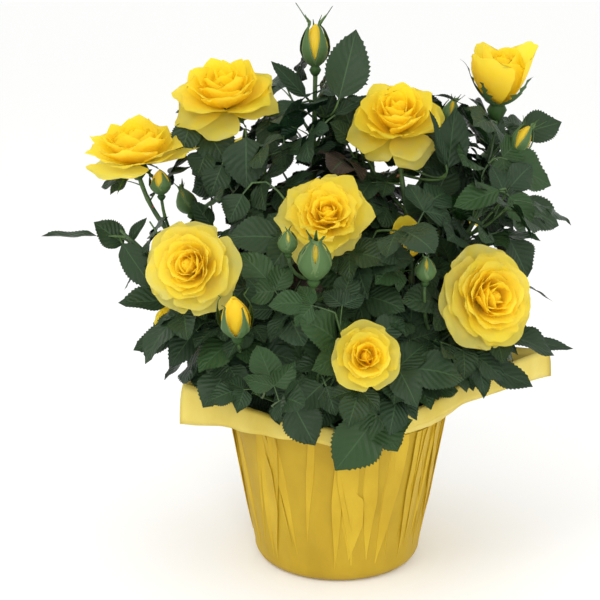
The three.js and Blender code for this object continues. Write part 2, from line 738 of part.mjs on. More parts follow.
// A cane is cut flat where it stands on the soil. A bough's saddle is cut by its cane, fattened by a seat's gap.
const slab = { width: 4 * CANE.ring, depth: 20 };
const groundBox = new THREE.BoxGeometry(slab.width, slab.width, slab.depth);
const ground = solidOf(groundBox.translate(0, 0, SOIL_TOP + SEAT_GAP - slab.depth / 2));
const fatCanes = {};
for (const [name, path] of Object.entries(canePaths)) {
  const cane = solidOf(limb(path, caneRadius, 6, 5)).subtract(ground);
  addMesh(`cane_${name}`, geometryOf(cane), COLOURS.cane);
  fatCanes[name] = solidOf(limb(path, (share) => caneRadius(share) + SEAT_GAP, 6, 5));
}

function makeBough(shoot) {
  const line = stretch(shoot.path, 0, BOUGH.share);
  const whole = solidOf(limb(line, taper(BOUGH.rootRadius, STEM.rootRadius), 5, 3));
  return fused([whole.subtract(fatCanes[shoot.cane])]);
}

// A mass's stem meets its bough's tip, or the side of its cane, a seat's gap away.
function makeStem(shoot) {
  const onCane = shoot.from === 0;
  const start = onCane ? 0 : shoot.from + SEAT_GAP / shoot.path.getLength();
  const line = stretch(shoot.path, start, 1, 8);
  const stem = solidOf(limb(line, taper(STEM.rootRadius, STEM.tipRadius), 4, 4));
  return onCane ? fused([stem.subtract(fatCanes[shoot.cane])]) : stem;
}

function makeMass(shoot) {
  const tip = shoot.path.getPointAt(1);
  const solids = [makeStem(shoot), ...shoot.leaves.map(makeLeaf)];
  if (shoot.flower === "bud") solids.push(...makeBud(tip, shoot.facing, shoot.size, shoot.index));
  else if (shoot.flower !== "none") solids.push(makeBloom(shoot));
  for (const bud of buds.filter(({ shoot: owner }) => owner === shoot.name)) {
    solids.push(solidOf(limb(bud.path, taper(STEM.tipRadius, STEM.tipRadius * 0.8), 4, 4)));
    solids.push(...makeBud(bud.path.getPointAt(1), bud.facing, bud.size, bud.index + shoots.length));
  }
  return fused(solids);
}

for (const shoot of shoots) {
  if (shoot.from > 0) addMesh(`bough_${shoot.name}`, geometryOf(makeBough(shoot)), COLOURS.cane);
  addMesh(`foliage_${shoot.name}`, geometryOf(makeMass(shoot)), COLOURS.leaf);
}

export default bush;
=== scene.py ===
import math

import bmesh
import bpy
import numpy as np
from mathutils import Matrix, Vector, noise


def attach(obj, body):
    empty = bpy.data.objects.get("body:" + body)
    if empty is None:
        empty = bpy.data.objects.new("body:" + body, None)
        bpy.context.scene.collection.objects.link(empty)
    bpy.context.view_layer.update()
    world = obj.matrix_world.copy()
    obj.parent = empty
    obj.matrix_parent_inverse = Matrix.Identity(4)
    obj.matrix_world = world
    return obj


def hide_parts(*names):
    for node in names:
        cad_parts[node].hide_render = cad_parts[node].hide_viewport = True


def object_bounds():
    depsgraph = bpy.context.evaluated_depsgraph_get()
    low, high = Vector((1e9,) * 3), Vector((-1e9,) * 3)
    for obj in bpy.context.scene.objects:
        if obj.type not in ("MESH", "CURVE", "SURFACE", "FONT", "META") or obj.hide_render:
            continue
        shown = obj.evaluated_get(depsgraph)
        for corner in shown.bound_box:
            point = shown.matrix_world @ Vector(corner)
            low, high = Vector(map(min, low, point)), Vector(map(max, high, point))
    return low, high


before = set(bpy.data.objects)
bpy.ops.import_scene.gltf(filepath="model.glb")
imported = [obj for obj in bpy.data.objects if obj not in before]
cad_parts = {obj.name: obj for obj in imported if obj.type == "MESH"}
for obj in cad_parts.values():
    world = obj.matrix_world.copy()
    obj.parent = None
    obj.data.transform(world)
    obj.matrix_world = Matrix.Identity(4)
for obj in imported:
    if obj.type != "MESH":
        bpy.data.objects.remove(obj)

# A patio rose in a round pot that stands in a pleated paper cover. Lengths are in millimetres and angles in
# degrees. Everything is worked out in millimetres and turned to metres when a mesh is made.
mm = 0.001
cadBox = [list(corner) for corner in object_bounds()]
up = np.array([0.0, 0.0, 1.0])


# Small sums

def chance(*keys):  # the same draw from 0 to 1 for the same keys
    weights = (12.9898, 78.233, 37.719, 4.581)
    value = math.sin(sum(key * weight for key, weight in zip(keys, weights))) * 43758.5453
    return value - math.floor(value)


def mix(a, b, share):
    return a + (b - a) * share


def between(low, high, *keys):
    return mix(low, high, chance(*keys))


def smooth(low, high, value):
    share = np.clip((value - low) / (high - low), 0, 1)
    return share * share * (3 - 2 * share)


def polar(azimuth, reach, height):
    angle = math.radians(azimuth)
    return np.array([reach * math.cos(angle), reach * math.sin(angle), height])


def heading(azimuth, elevation):
    angle = math.radians(elevation)
    return polar(azimuth, math.cos(angle), math.sin(angle))


def azimuthOf(point):
    return math.degrees(math.atan2(point[1], point[0])) % 360


def apart(a, b):  # the degrees between two azimuths
    return abs((a - b + 180) % 360 - 180)


def unit(vector):
    return vector / np.linalg.norm(vector)


def turned(vector, axis, degrees):
    angle = math.radians(degrees)
    straight = axis * np.dot(axis, vector) * (1 - math.cos(angle))
    return vector * math.cos(angle) + np.cross(axis, vector) * math.sin(angle) + straight


# Lines are arrays of points at equal steps

def evenly(points, count=61):
    travelled = np.concatenate([[0], np.cumsum(np.linalg.norm(np.diff(points, axis=0), axis=1))])
    wanted = np.linspace(0, travelled[-1], count)
    return np.stack([np.interp(wanted, travelled, points[:, axis]) for axis in range(3)], axis=1)


def bezier(*controls):
    share = np.linspace(0, 1, 61)[:, None]
    layer = [np.tile(point, (61, 1)) for point in controls]
    while len(layer) > 1:
        layer = [mix(a, b, share) for a, b in zip(layer, layer[1:])]
    return evenly(layer[0])


def throughKnots(knots):  # a centripetal spline
    knots = [2 * knots[0] - knots[1], *knots, 2 * knots[-1] - knots[-2]]
    pieces = []
    for a, b, c, d in zip(knots, knots[1:], knots[2:], knots[3:]):
        pairs = ((a, b), (b, c), (c, d))
        times = np.cumsum([0] + [math.sqrt(np.linalg.norm(q - p)) for p, q in pairs])
        now = np.linspace(times[1], times[2], 40)[:, None]

        def blend(p, q, start, end):
            return (p * (end - now) + q * (now - start)) / (end - start)

        ab, bc, cd = (blend(p, q, times[i], times[i + 1]) for i, (p, q) in enumerate(pairs))
        left, right = blend(ab, bc, times[0], times[2]), blend(bc, cd, times[1], times[3])
        pieces.append(blend(left, right, times[1], times[2]))
    return evenly(np.concatenate(pieces))


def pointAt(line, share):
    place = min(max(share, 0), 1) * (len(line) - 1)
    step = min(int(place), len(line) - 2)
    return mix(line[step], line[step + 1], place - step)


def headingAt(line, share):
    step = min(int(share * (len(line) - 1)), len(line) - 2)
    return unit(line[step + 1] - line[step])


def lengthOf(line):
    return np.linalg.norm(np.diff(line, axis=0), axis=1).sum()


def stretch(line, start, end, count=12):
    return np.array([pointAt(line, mix(start, end, i / (count - 1))) for i in range(count)])


def besideLine(line, share, turn):  # a point of a line, the heading there and a heading square to it
    tangent = headingAt(line, share)
    return pointAt(line, share), tangent, turned(unit(np.cross(tangent, up + 0.01)), tangent, turn)


# Finishes

def linear(hexColour):  # sRGB to linear
    values = [int(hexColour[i : i + 2], 16) / 255 for i in (1, 3, 5)]
    return (*[v / 12.92 if v <= 0.04045 else ((v + 0.055) / 1.055) ** 2.4 for v in values], 1)


def addNode(material, kind, inputs=None, **settings):
    node = material.node_tree.nodes.new(kind)
    for name, value in settings.items():
        setattr(node, name, value)
    for name, value in (inputs or {}).items():
        if isinstance(value, bpy.types.NodeSocket):
            material.node_tree.links.new(value, node.inputs[name])
        else:
            node.inputs[name].default_value = value
    return node


def newFinish(name, **shader):
    material = bpy.data.materials.new(name)
    material.use_nodes = True
    surface = material.node_tree.nodes["Principled BSDF"]
    for socket, value in shader.items():
        surface.inputs[socket.replace("_", " ")].default_value = value
    return material, surface


def join(material, output, surface, socket):
    material.node_tree.links.new(output, surface.inputs[socket])


def patches(material, size, low, high, darker, lighter, stretchBy=(1, 1, 1), detail=3):
    # two colours in soft patches of about size millimetres
    place = addNode(material, "ShaderNodeTexCoord").outputs["Object"]
    spread = addNode(material, "ShaderNodeMapping", {"Vector": place, "Scale": stretchBy}).outputs[0]
    cloud = {"Vector": spread, "Scale": 1 / (size * mm), "Detail": detail}
    field = addNode(material, "ShaderNodeTexNoise", cloud).outputs["Fac"]
    ramp = addNode(material, "ShaderNodeValToRGB", {"Fac": field})
    first, last = ramp.color_ramp.elements
    first.position, last.position = low, high
    first.color, last.color = linear(darker), linear(lighter)
    return ramp.outputs["Color"], spread


def relief(material, surface, vector, size, depth, strength=1, detail=4):
    # a bump of about size millimetres across and depth millimetres deep
    grain = {"Vector": vector, "Scale": 1 / (size * mm), "Detail": detail}
    field = addNode(material, "ShaderNodeTexNoise", grain).outputs["Fac"]
    swell = {"Height": field, "Distance": depth * mm, "Strength": strength}
    bump = addNode(material, "ShaderNodeBump", swell)
    join(material, bump.outputs["Normal"], surface, "Normal")


def addVeins(material, surface, colour, spread, veinColour, pairs=7, slant=0.34):
    # side veins run from the rib towards the edge and the tip, sunk between soft swellings of the blade
    sums = "ShaderNodeMath"
    blade = addNode(material, "ShaderNodeAttribute", attribute_name="blade").outputs["Vector"]
    across, onward, _ = addNode(material, "ShaderNodeSeparateXYZ", {"Vector": blade}).outputs
    fromRib = addNode(material, sums, {0: across}, operation="ABSOLUTE").outputs[0]
    along = addNode(material, sums, {0: onward, 1: pairs}, operation="MULTIPLY").outputs[0]
    slanted = {0: fromRib, 1: -slant * pairs, 2: along}
    phase = addNode(material, sums, slanted, operation="MULTIPLY_ADD").outputs[0]
    swelling = addNode(material, sums, {0: phase, 1: 0.5}, operation="PINGPONG").outputs[0]
    narrow = {"Value": swelling, "From Max": 0.11, "To Min": 0.5, "To Max": 0}
    vein = addNode(material, "ShaderNodeMapRange", narrow).outputs[0]
    colours = {"Factor": vein, "A": colour, "B": linear(veinColour)}
    veined = addNode(material, "ShaderNodeMix", colours, data_type="RGBA").outputs["Result"]
    grain = {"Vector": spread, "Scale": 1 / (1.6 * mm), "Detail": 4}
    fine = addNode(material, "ShaderNodeTexNoise", grain).outputs["Fac"]
    height = addNode(material, sums, {0: fine, 1: 0.3, 2: swelling}, operation="MULTIPLY_ADD").outputs[0]
    bump = addNode(material, "ShaderNodeBump", {"Height": height, "Distance": 0.9 * mm, "Strength": 0.8})
    join(material, bump.outputs["Normal"], surface, "Normal")
    return veined


def leafFinish(name, darker, lighter, underside, roughness, veinColour=None):
    # a rose leaf's waxy skin: a soft broken sheen over veined green, and a paler matt underside
    material, surface = newFinish(name, Roughness=roughness, IOR=1.4, Specular_IOR_Level=0.22)
    colour, spread = patches(material, 16, 0.36, 0.64, darker, lighter)
    if veinColour:
        colour = addVeins(material, surface, colour, spread, veinColour)
    else:
        relief(material, surface, spread, 1.6, 0.35, 0.7)
    behind = addNode(material, "ShaderNodeNewGeometry").outputs["Backfacing"]
    sides = {"Factor": behind, "A": colour, "B": linear(underside)}
    both = addNode(material, "ShaderNodeMix", sides, data_type="RGBA").outputs["Result"]
    join(material, both, surface, "Base Color")
    return material


def petalFinish(name, darker, lighter):
    # a petal's velvety skin over thin flesh: no hard gloss, and light that passes through fills its shadows
    material, surface = newFinish(name, Roughness=0.6, IOR=1.36, Specular_IOR_Level=0.25)
    colour, spread = patches(material, 9, 0.35, 0.65, darker, lighter)
    join(material, colour, surface, "Base Color")
    relief(material, surface, spread, 1.2, 0.1, 0.4)
    through = addNode(material, "ShaderNodeBsdfTranslucent", {"Color": colour}).outputs[0]
    both = addNode(material, "ShaderNodeMixShader", {"Fac": 0.6, 1: surface.outputs[0], 2: through})
    join(material, both.outputs[0], material.node_tree.nodes["Material Output"], "Surface")
    return material


def woodFinish(name, darker, lighter, roughness):
    # young rose bark: green skin with brown streaks that run along the stem
    material, surface = newFinish(name, Roughness=roughness, IOR=1.45)
    colour, spread = patches(material, 5, 0.38, 0.66, darker, lighter, (1, 1, 0.3))
    join(material, colour, surface, "Base Color")
    relief(material, surface, spread, 1.1, 0.5, 0.8)
    return material


def paperFinish(name, darker, lighter, patch, fibre, roughness, glow):
    # machine-made wrapping paper, pressed by hand: matt, with faint clouds and short fibres
    material, surface = newFinish(
        name, Roughness=roughness, IOR=1.5, Subsurface_Weight=glow, Specular_IOR_Level=0.3
    )
    surface.inputs["Subsurface Scale"].default_value = 1.2 * mm
    surface.inputs["Subsurface Radius"].default_value = (1.0, 0.8, 0.3)
    colour, spread = patches(material, patch, 0.34, 0.68, darker, lighter, (1, 1, 0.55), 6)
    join(material, colour, surface, "Base Color")
    relief(material, surface, spread, fibre, 0.22, 0.6, 8)  # real fibres are finer and wouldn't show
    return material


# The dark and bright leaves differ partly at random and partly as painted shade and painted light, by where
# light falls on the crown.
leafFinishes = {
    "dark": leafFinish("leaf_dark_waxy_and_painted_shade", "#14291A", "#1B3520", "#293B27", 0.42, "#2B462D"),
    "mid": leafFinish("leaf_grown_waxy", "#102312", "#193118", "#2A3C26", 0.4, "#2A4527"),
    "bright": leafFinish("leaf_light_green_and_painted_light", "#132B11", "#1B3A16", "#2F4627", 0.38, "#2F4E26"),
    "young": leafFinish("leaf_young_bronze", "#191D18", "#26231F", "#332B25", 0.4, "#3A3A2C"),
}
ribFinish = leafFinish("leaf_rib", "#18301B", "#254226", "#3B5233", 0.48)
# from the heart's deep gold to the pale outer petals
goldHexes = (
    "#FFEA36", "#FFEA38", "#FFEA3A", "#FFEA3E", "#FEE945", "#FCE950", "#F8E75C", "#F4E66E", "#EEE480",
)
goldFinishes = [
    petalFinish(f"petal_gold_{i}", darker, lighter)
    for i, (darker, lighter) in enumerate(zip(goldHexes, goldHexes[1:]))
]
calyxFinish = leafFinish("sepal_green", "#233C1A", "#365227", "#49633A", 0.5)
marginFinish = leafFinish("sepal_pale_margin", "#486230", "#607A42", "#5E7448", 0.6)
caneFinish = woodFinish("bark_young_cane", "#3D3020", "#565831", 0.55)
boughFinish = woodFinish("bark_green_shoot", "#3A4524", "#546433", 0.5)
stemFinish = woodFinish("stem_green", "#304827", "#4A6633", 0.48)
thornFinish = woodFinish("thorn_red_brown", "#6B3426", "#95503A", 0.4)
# the cover's paper: the folded strips are painted lighter than the wall between them, a painted highlight on
# the raised folds
coverFinish = paperFinish("paper_ochre_pleated", "#A88918", "#B79820", 26, 0.8, 0.62, 0.05)
foldHighlightFinish = paperFinish("paper_ochre_fold_painted_highlight", "#B6951C", "#C5A526", 22, 0.8, 0.6, 0.05)
collarFinish = paperFinish("paper_lemon_folded", "#CDB54A", "#DAC867", 30, 0.9, 0.55, 0.25)
print("finishes made")


# Meshes from arrays: a heap gathers points, face corners and the finish of each face

def newHeap():
    return {"points": [], "corners": [], "sizes": [], "finishes": [], "blades": [], "count": 0}


def pile(heap, points, template, finishes=0):
    heap["points"].append(points)
    heap["corners"].append(template["corners"] + heap["count"])
    heap["sizes"].append(template["sizes"])
    heap["finishes"].append(np.broadcast_to(finishes, template["sizes"].shape))
    heap["count"] += len(points)


def templateOf(bm, flip=False):
    bm.verts.index_update()
    if flip:
        bmesh.ops.reverse_faces(bm, faces=bm.faces)
    template = {
        "points": np.array([vert.co for vert in bm.verts]),
        "corners": np.array([vert.index for face in bm.faces for vert in face.verts]),
        "sizes": np.array([len(face.verts) for face in bm.faces]),
        "middles": np.array([face.calc_center_median() for face in bm.faces]),
    }
    bm.free()
    return template


def finishPiece(piece, nodes=()):
    bpy.context.scene.collection.objects.link(piece)
    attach(piece, "root")
    if nodes:
        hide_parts(*nodes)
    return piece


def makePiece(name, heap, materials, nodes=()):
    mesh = bpy.data.meshes.new(name)
    points = np.concatenate(heap["points"]) * mm
    corners = np.concatenate(heap["corners"])
    sizes = np.concatenate(heap["sizes"])
    mesh.vertices.add(len(points))
    mesh.vertices.foreach_set("co", points.ravel())
    mesh.loops.add(len(corners))
    mesh.loops.foreach_set("vertex_index", corners)
    mesh.polygons.add(len(sizes))
    mesh.polygons.foreach_set("loop_start", np.concatenate([[0], np.cumsum(sizes)[:-1]]))
    mesh.polygons.foreach_set("material_index", np.concatenate(heap["finishes"]))
    mesh.polygons.foreach_set("use_smooth", np.ones(len(sizes), dtype=bool))
    for material in materials:
        mesh.materials.append(material)
    if heap["blades"]:  # each point's place on its own blade, for the veins
        blades = mesh.attributes.new("blade", "FLOAT_VECTOR", "POINT")
        blades.data.foreach_set("vector", np.concatenate(heap["blades"]).ravel())
    mesh.update(calc_edges=True)
    print(name, "has", sum(sizes) - 2 * len(sizes), "triangles")
    return finishPiece(bpy.data.objects.new(name, mesh), nodes)


def placed(points, origin, x, y, z):
    return origin + points[:, :1] * x + points[:, 1:2] * y + points[:, 2:] * z


# The camera comes before the leaves, because the gaps in the crown and the leaves of its outline are given
# by where they fall in its frame.

view = {
    "location": np.array([-27.0, -860.0, 396.0]),
    "pitch": 13.6,  # how far it looks down
    "lens": 75.6,
    "sensor": 36.0,
    "frame": 600,
}
tilt = math.radians(view["pitch"])
focal = view["frame"] * view["lens"] / view["sensor"]  # the lens' length in the frame's own units

camera = bpy.data.objects.new("camera", bpy.data.cameras.new("camera"))
camera.data.lens = view["lens"]
camera.data.sensor_width = view["sensor"]
camera.data.clip_start = 0.01
camera.location = view["location"] * mm
camera.rotation_euler = (math.radians(90 - view["pitch"]), 0, 0)
bpy.context.scene.collection.objects.link(camera)
bpy.context.scene.camera = camera


def onFrame(points):  # where points fall in the 600 by 600 frame, and how far away they are
    away = points - view["location"]
    depth = away[:, 1] * math.cos(tilt) - away[:, 2] * math.sin(tilt)
    rise = away[:, 1] * math.sin(tilt) + away[:, 2] * math.cos(tilt)
    scale = focal / depth
    middle = view["frame"] / 2
    return middle + away[:, 0] * scale, middle - rise * scale, depth


def behindFrame(spot, along):  # the point that falls on a spot of the frame, at a place along Y
    across = (spot[0] - view["frame"] / 2) / focal
    rise = (view["frame"] / 2 - spot[1]) / focal
    ray = np.array([across, math.cos(tilt) + rise * math.sin(tilt), rise * math.cos(tilt) - math.sin(tilt)])
    return view["location"] + ray * (along - view["location"][1]) / ray[1]


# Pot, soil and paper

pot = {"footRadius": 54, "heelRadius": 58.5, "heelHeight": 9, "rimRadius": 73.4, "top": 109, "wall": 2}
soilTop = 97

cover = {
    "sheet": 1.2,
    "top": 111.2,
    "topRadius": 77.6,
    "clearance": 0.6,
    "pleats": 17,  # the source's large pleats, each pressed flat
    "lean": 8,  # how far a pleat leans over the cover's height
    "facet": 0.7,  # how flat the paper lies between two pleats, in millimetres
    "crumple": 0.5,
    "columns": 306,
    "rows": 26,
}
flaps = {
    "kinds": (
        # how many, their width at the foot, their lift, and how far they lean over the height in degrees
        (17, 15, 1.7, 9),
        (24, 7.5, 1.3, 14),
        (20, 3.4, 1.0, 18),
    ),
    "points": (0.5, 0.14),  # the shares of a flap's length over which it narrows to its foot and its top
    "from": (0, 0.22),  # where a flap starts and ends, as shares of the cover's height
    "to": (0.95, 1.5),
    "short": 0.15,  # the share of flaps that die out half way up
    "shortTo": (0.6, 0.85),
    "widths": (0.7, 1.2),
    "widening": (0.45, 1.1),  # towards the top
    "wander": 0.9,  # how far its line strays, in degrees
    "under": 0.7,  # how deep a flap's root lies in the wall
    # across a flap: the share of its width, and the share of its lift or -1 for in the wall
    "section": ((0, -1), (0.16, 0.3), (0.7, 0.62), (0.98, 1), (1, 0.8), (0.8, -1)),
    "rows": 16,
}

coverHeel = cover["sheet"] + pot["heelHeight"]
coverHeelRadius = pot["heelRadius"] + cover["clearance"] + cover["sheet"]


def coverWall(azimuth, share):
    # the wall's radius: flat facets between the pleats, creased and dented by hand
    step = 360 / cover["pleats"]
    away = ((azimuth + cover["lean"] * (share - 0.5)) % step) / step - 0.5
    dent = noise.noise(polar(azimuth, 4, share * 2.2))
    crease = abs(noise.noise((azimuth * 0.045, share * 1.6, 7.1)))
    lift = cover["crumple"] * (dent - 1.4 * crease) + cover["facet"] * (4 * away * away - 0.5)
    return mix(coverHeelRadius, cover["topRadius"], share) + lift


def wallAt(share):  # the plain wall's radius and height
    return mix(coverHeelRadius, cover["topRadius"], share), mix(coverHeel, cover["top"], share)


def spun(profile, columns):  # a line of radii and heights, turned round the upright axis
    bm = bmesh.new()
    verts = [bm.verts.new((radius, 0, z)) for radius, z in profile]
    edges = [bm.edges.new(pair) for pair in zip(verts, verts[1:])]
    bmesh.ops.spin(
        bm,
        geom=verts + edges,
        cent=(0, 0, 0),
        axis=(0, 0, 1),
        angle=math.tau,
        steps=columns,
        use_merge=True,
    )
    return bm


def makeCover():
    corner = bezier(
        np.array([pot["footRadius"] - 3, 0, 0]),
        np.array([pot["heelRadius"] + 0.2, 0, 0.4]),
        np.array([coverHeelRadius, 0, coverHeel]),
    )[::10]
    profile = [(0, 0), *[(x, z) for x, _, z in corner[:-1]]]
    profile += [wallAt(i / cover["rows"]) for i in range(cover["rows"] + 1)]
    profile += [
        (cover["topRadius"] - cover["sheet"], cover["top"]),
        (coverHeelRadius - cover["sheet"], coverHeel),
        (pot["footRadius"] + cover["clearance"], cover["sheet"]),
        (0, cover["sheet"]),
    ]
    bm = spun(profile, cover["columns"])
    bmesh.ops.remove_doubles(bm, verts=bm.verts, dist=1e-4)
    for vert in bm.verts:
        share = (vert.co.z - coverHeel) / (cover["top"] - coverHeel)
        radius = vert.co.xy.length
        if share > -0.001 and radius > wallAt(share)[0] - 0.1:
            vert.co.xy *= coverWall(azimuthOf(vert.co), min(share, 1)) / radius
    bmesh.ops.recalc_face_normals(bm, faces=bm.faces)
    return templateOf(bm)


def longEdges(bm):  # the edges that run along a cone or a cylinder one unit high
    return [edge for edge in bm.edges if abs(edge.verts[0].co.z - edge.verts[1].co.z) > 0.5]


def makeStrip(flip):  # a closed strip: its section's points on lines, and rows along it
    bm = bmesh.new()
    bmesh.ops.create_cone(bm, cap_ends=True, segments=len(flaps["section"]), radius1=1, radius2=1, depth=1)
    bmesh.ops.subdivide_edges(bm, edges=longEdges(bm), cuts=flaps["rows"] - 1, use_grid_fill=True)
    strip = templateOf(bm, flip)
    strip["row"] = np.round((strip["points"][:, 2] + 0.5) * flaps["rows"]).astype(int)
    step = 360 / len(flaps["section"])
    strip["line"] = np.array([int(azimuthOf(point) / step) for point in strip["points"]])
    return strip


strips = {1: makeStrip(False), -1: makeStrip(True)}


def layFlap(heap, width, lift, lean, *keys):
    # paper folded over on itself: a long tapering strip with one root in the wall and one free crisp edge
    middle = 360 * chance(*keys, 1)
    lean = lean * between(-1, 1, *keys, 2)
    low, high = between(*flaps["from"], *keys, 3), between(*flaps["to"], *keys, 4)
    if chance(*keys, 5) < flaps["short"]:
        low, high = low / 2, between(*flaps["shortTo"], *keys, 6)
    hand = 1 if chance(*keys, 7) < 0.5 else -1
    widening = between(*flaps["widening"], *keys, 8)
    points = np.empty((flaps["rows"] + 1, len(flaps["section"]), 3))
    for i, row in enumerate(points):
        share = mix(max(low, 0.005), min(high, 1), i / flaps["rows"])
        place = (share - low) / (high - low)
        full = max(0.06, min(1, place / flaps["points"][0], (1 - place) / flaps["points"][1]))
        across = width * between(*flaps["widths"], *keys, 9) * mix(1, widening, share) * full
        stray = flaps["wander"] * noise.noise((share * 2, keys[1] * 3.7, 1.3))
        azimuth = middle + lean * (share - 0.5) + stray
        uneven = 1 + 0.4 * noise.noise((share * 4, keys[1] * 1.9, 8.8))
        raised = lift * full**0.5 * uneven * smooth(-0.04, 0.16, share)
        radius, z = wallAt(share)
        for j, (over, height) in enumerate(flaps["section"]):
            turn = azimuth + hand * math.degrees(across * (over - 0.5) / radius)
            rise = raised * height if height > 0 else -flaps["under"]
            row[j] = polar(turn, coverWall(turn, share) + rise, z)
    strip = strips[hand]
    # the strip takes the lighter fold paper: a painted highlight
    pile(heap, points[strip["row"], strip["line"]], strip, 1)


heap = newHeap()
template = makeCover()
pile(heap, template["points"], template)
for kind, (count, width, lift, lean) in enumerate(flaps["kinds"]):
    for i in range(count):
        layFlap(heap, width, lift, lean, kind + 2, i)
coverCup = makePiece("cover_cup", heap, [coverFinish, foldHighlightFinish], ["pot_cover"])
coverCup.data.set_sharp_from_angle(angle=math.radians(24))  # pressed folds stay crisp

collar = {
    "sheet": 0.8,
    "innerRadius": 75.4,
    "base": 110.4,
    "hemSpread": 4,
    # the folded edge's four corners: azimuth, reach, height and depth of hem
    "corners": ((8, 155, 144, 20), (98, 138, 138, 20), (186, 110, 130, 30), (268, 93, 124, 12)),
    "sag": 0.48,  # how far the edge draws in between two corners
    "hemSag": 0.45,
    "leastFlare": 9,
    "columns": 360,
    "rings": 12,
    "hemRings": 5,
    "above": (0.8, 1.2),  # how far it stands over the solid collar, at its foot and at its edge
    "gathers": 41,
    "gather": 0.5,
    "wave": 2.2,  # how far the paper waves at its folded edge
    "buckle": 0.9,  # how far its hem stands off in places
}


def collarEdge(azimuth):
    # the folded edge at one azimuth: its reach, its height and the depth of its hem
    corners = collar["corners"]
    azimuth %= 360
    last = max((i for i, corner in enumerate(corners) if corner[0] <= azimuth), default=len(corners) - 1)
    start, end = corners[last], corners[(last + 1) % len(corners)]
    share = ((azimuth - start[0]) % 360) / ((end[0] - start[0]) % 360)
    blend = smooth(0, 1, share)
    draw = 1 - collar["sag"] * math.sin(math.pi * share) ** 0.8
    flare = mix(start[1], end[1], blend) - collar["innerRadius"]
    reach = collar["innerRadius"] + max(collar["leastFlare"], flare * draw**2.2)
    hem = mix(start[3], end[3], blend) * mix(1, draw, collar["hemSag"])
    return reach, mix(start[2], end[2], blend), hem


def makeCollar():
    rings = collar["rings"] + collar["hemRings"]
    bm = spun([(ring + 1, 0) for ring in range(rings + 1)], collar["columns"])
    for vert in bm.verts:
        ring = round(vert.co.xy.length) - 1
        azimuth = azimuthOf(vert.co)
        reach, height, hem = collarEdge(azimuth)
        place = min(ring / collar["rings"], 1)
        radius = mix(collar["innerRadius"], reach, place)
        z = mix(collar["base"], height, place**1.8)
        # gathered at the pot's rim, waving at the fold
        wave = collar["wave"] * noise.noise((*polar(azimuth, 3.1, 0)[:2], place))
        gather = collar["gather"] * math.sin(math.radians(azimuth * collar["gathers"])) * (1 - place) ** 2
        z += mix(*collar["above"], place) + (wave + gather) * place**0.5
        if ring > collar["rings"]:
            down = (ring - collar["rings"]) / collar["hemRings"]
            buckle = collar["buckle"] * noise.noise((*polar(azimuth, 7, 0)[:2], 4 + down))
            radius += (collar["hemSpread"] - 1) * math.sin(down * math.pi / 2) ** 0.6 + buckle * down
            z -= hem * down
        vert.co = polar(azimuth, radius, z)
    bmesh.ops.recalc_face_normals(bm, faces=bm.faces)
    bmesh.ops.solidify(bm, geom=bm.faces, thickness=collar["sheet"])
    return templateOf(bm)


heap = newHeap()
template = makeCollar()
pile(heap, template["points"], template)
makePiece("collar_band", heap, [collarFinish], ["cover_collar"])

# injection-moulded polypropylene: dull black, with a faint grain from the mould
potFinish, surface = newFinish("polypropylene_moulded_black", Roughness=0.48, IOR=1.49)
colour, spread = patches(potFinish, 12, 0.3, 0.7, "#262625", "#34332F")
join(potFinish, colour, surface, "Base Color")
relief(potFinish, surface, spread, 0.8, 0.05, 0.4)

# peat-based potting soil: dark brown crumbs with paler fibres, fully matt
soilFinish, surface = newFinish("potting_soil_peat", Roughness=0.95, IOR=1.4)
colour, spread = patches(soilFinish, 3.5, 0.35, 0.7, "#2A1C12", "#5A432C", (1, 1, 1), 8)
join(soilFinish, colour, surface, "Base Color")
relief(soilFinish, surface, spread, 2.2, 1.4, 1, 8)

for name, finish in (("nursery_pot", potFinish), ("soil", soilFinish)):
    node = bpy.data.objects[name]
    node.data.materials.clear()
    node.data.materials.append(finish)

crumbs = {"count": 900, "ring": 66, "sizes": (0.8, 2.6), "squeeze": ((0.7, 1.3), (0.7, 1.3), (0.5, 0.9))}


def makeCrumbs():
    bm = bmesh.new()
    bmesh.ops.create_icosphere(bm, subdivisions=1, radius=1)
    template = templateOf(bm)
    heap = newHeap()
    for i in range(crumbs["count"]):
        size = mix(*crumbs["sizes"], chance(i, 71) ** 2)
        spot = polar(360 * chance(i, 72), crumbs["ring"] * math.sqrt(chance(i, 73)), soilTop + 0.3 * size)
        squeeze = [between(*limits, i, 74 + axis) for axis, limits in enumerate(crumbs["squeeze"])]
        pile(heap, spot + template["points"] * size * squeeze, template)
    return heap


makePiece("soil_crumbs", makeCrumbs(), [soilFinish])
print("pot, soil and paper made")


# Canes, boughs and the line of every shoot

cane = {
    "foot": 5,
    "neck": 3.8,
    "neckAt": 0.15,
    "tip": 3,
    "from": 0.045,  # its foot is inside the soil
    "ring": 21,
    "forkReach": 36,
    "forkHeight": 158,
}
canes = {"front": 272, "right": 344, "back_right": 56, "back_left": 128, "left": 200}
bough = {"rootRadius": 2.69, "share": 0.36}
stem = {"rootRadius": 2.1, "tipRadius": 1.5, "neck": 1.9, "budRadii": (1.3, 1.1), "from": 0.012}
# how steeply a shoot leaves its cane, low down and high up, and how far its ends run straight
shootRule = {"low": 0.45, "high": 1.1, "tipRise": 0.9, "rootRun": 0.36, "tipRun": 0.34}

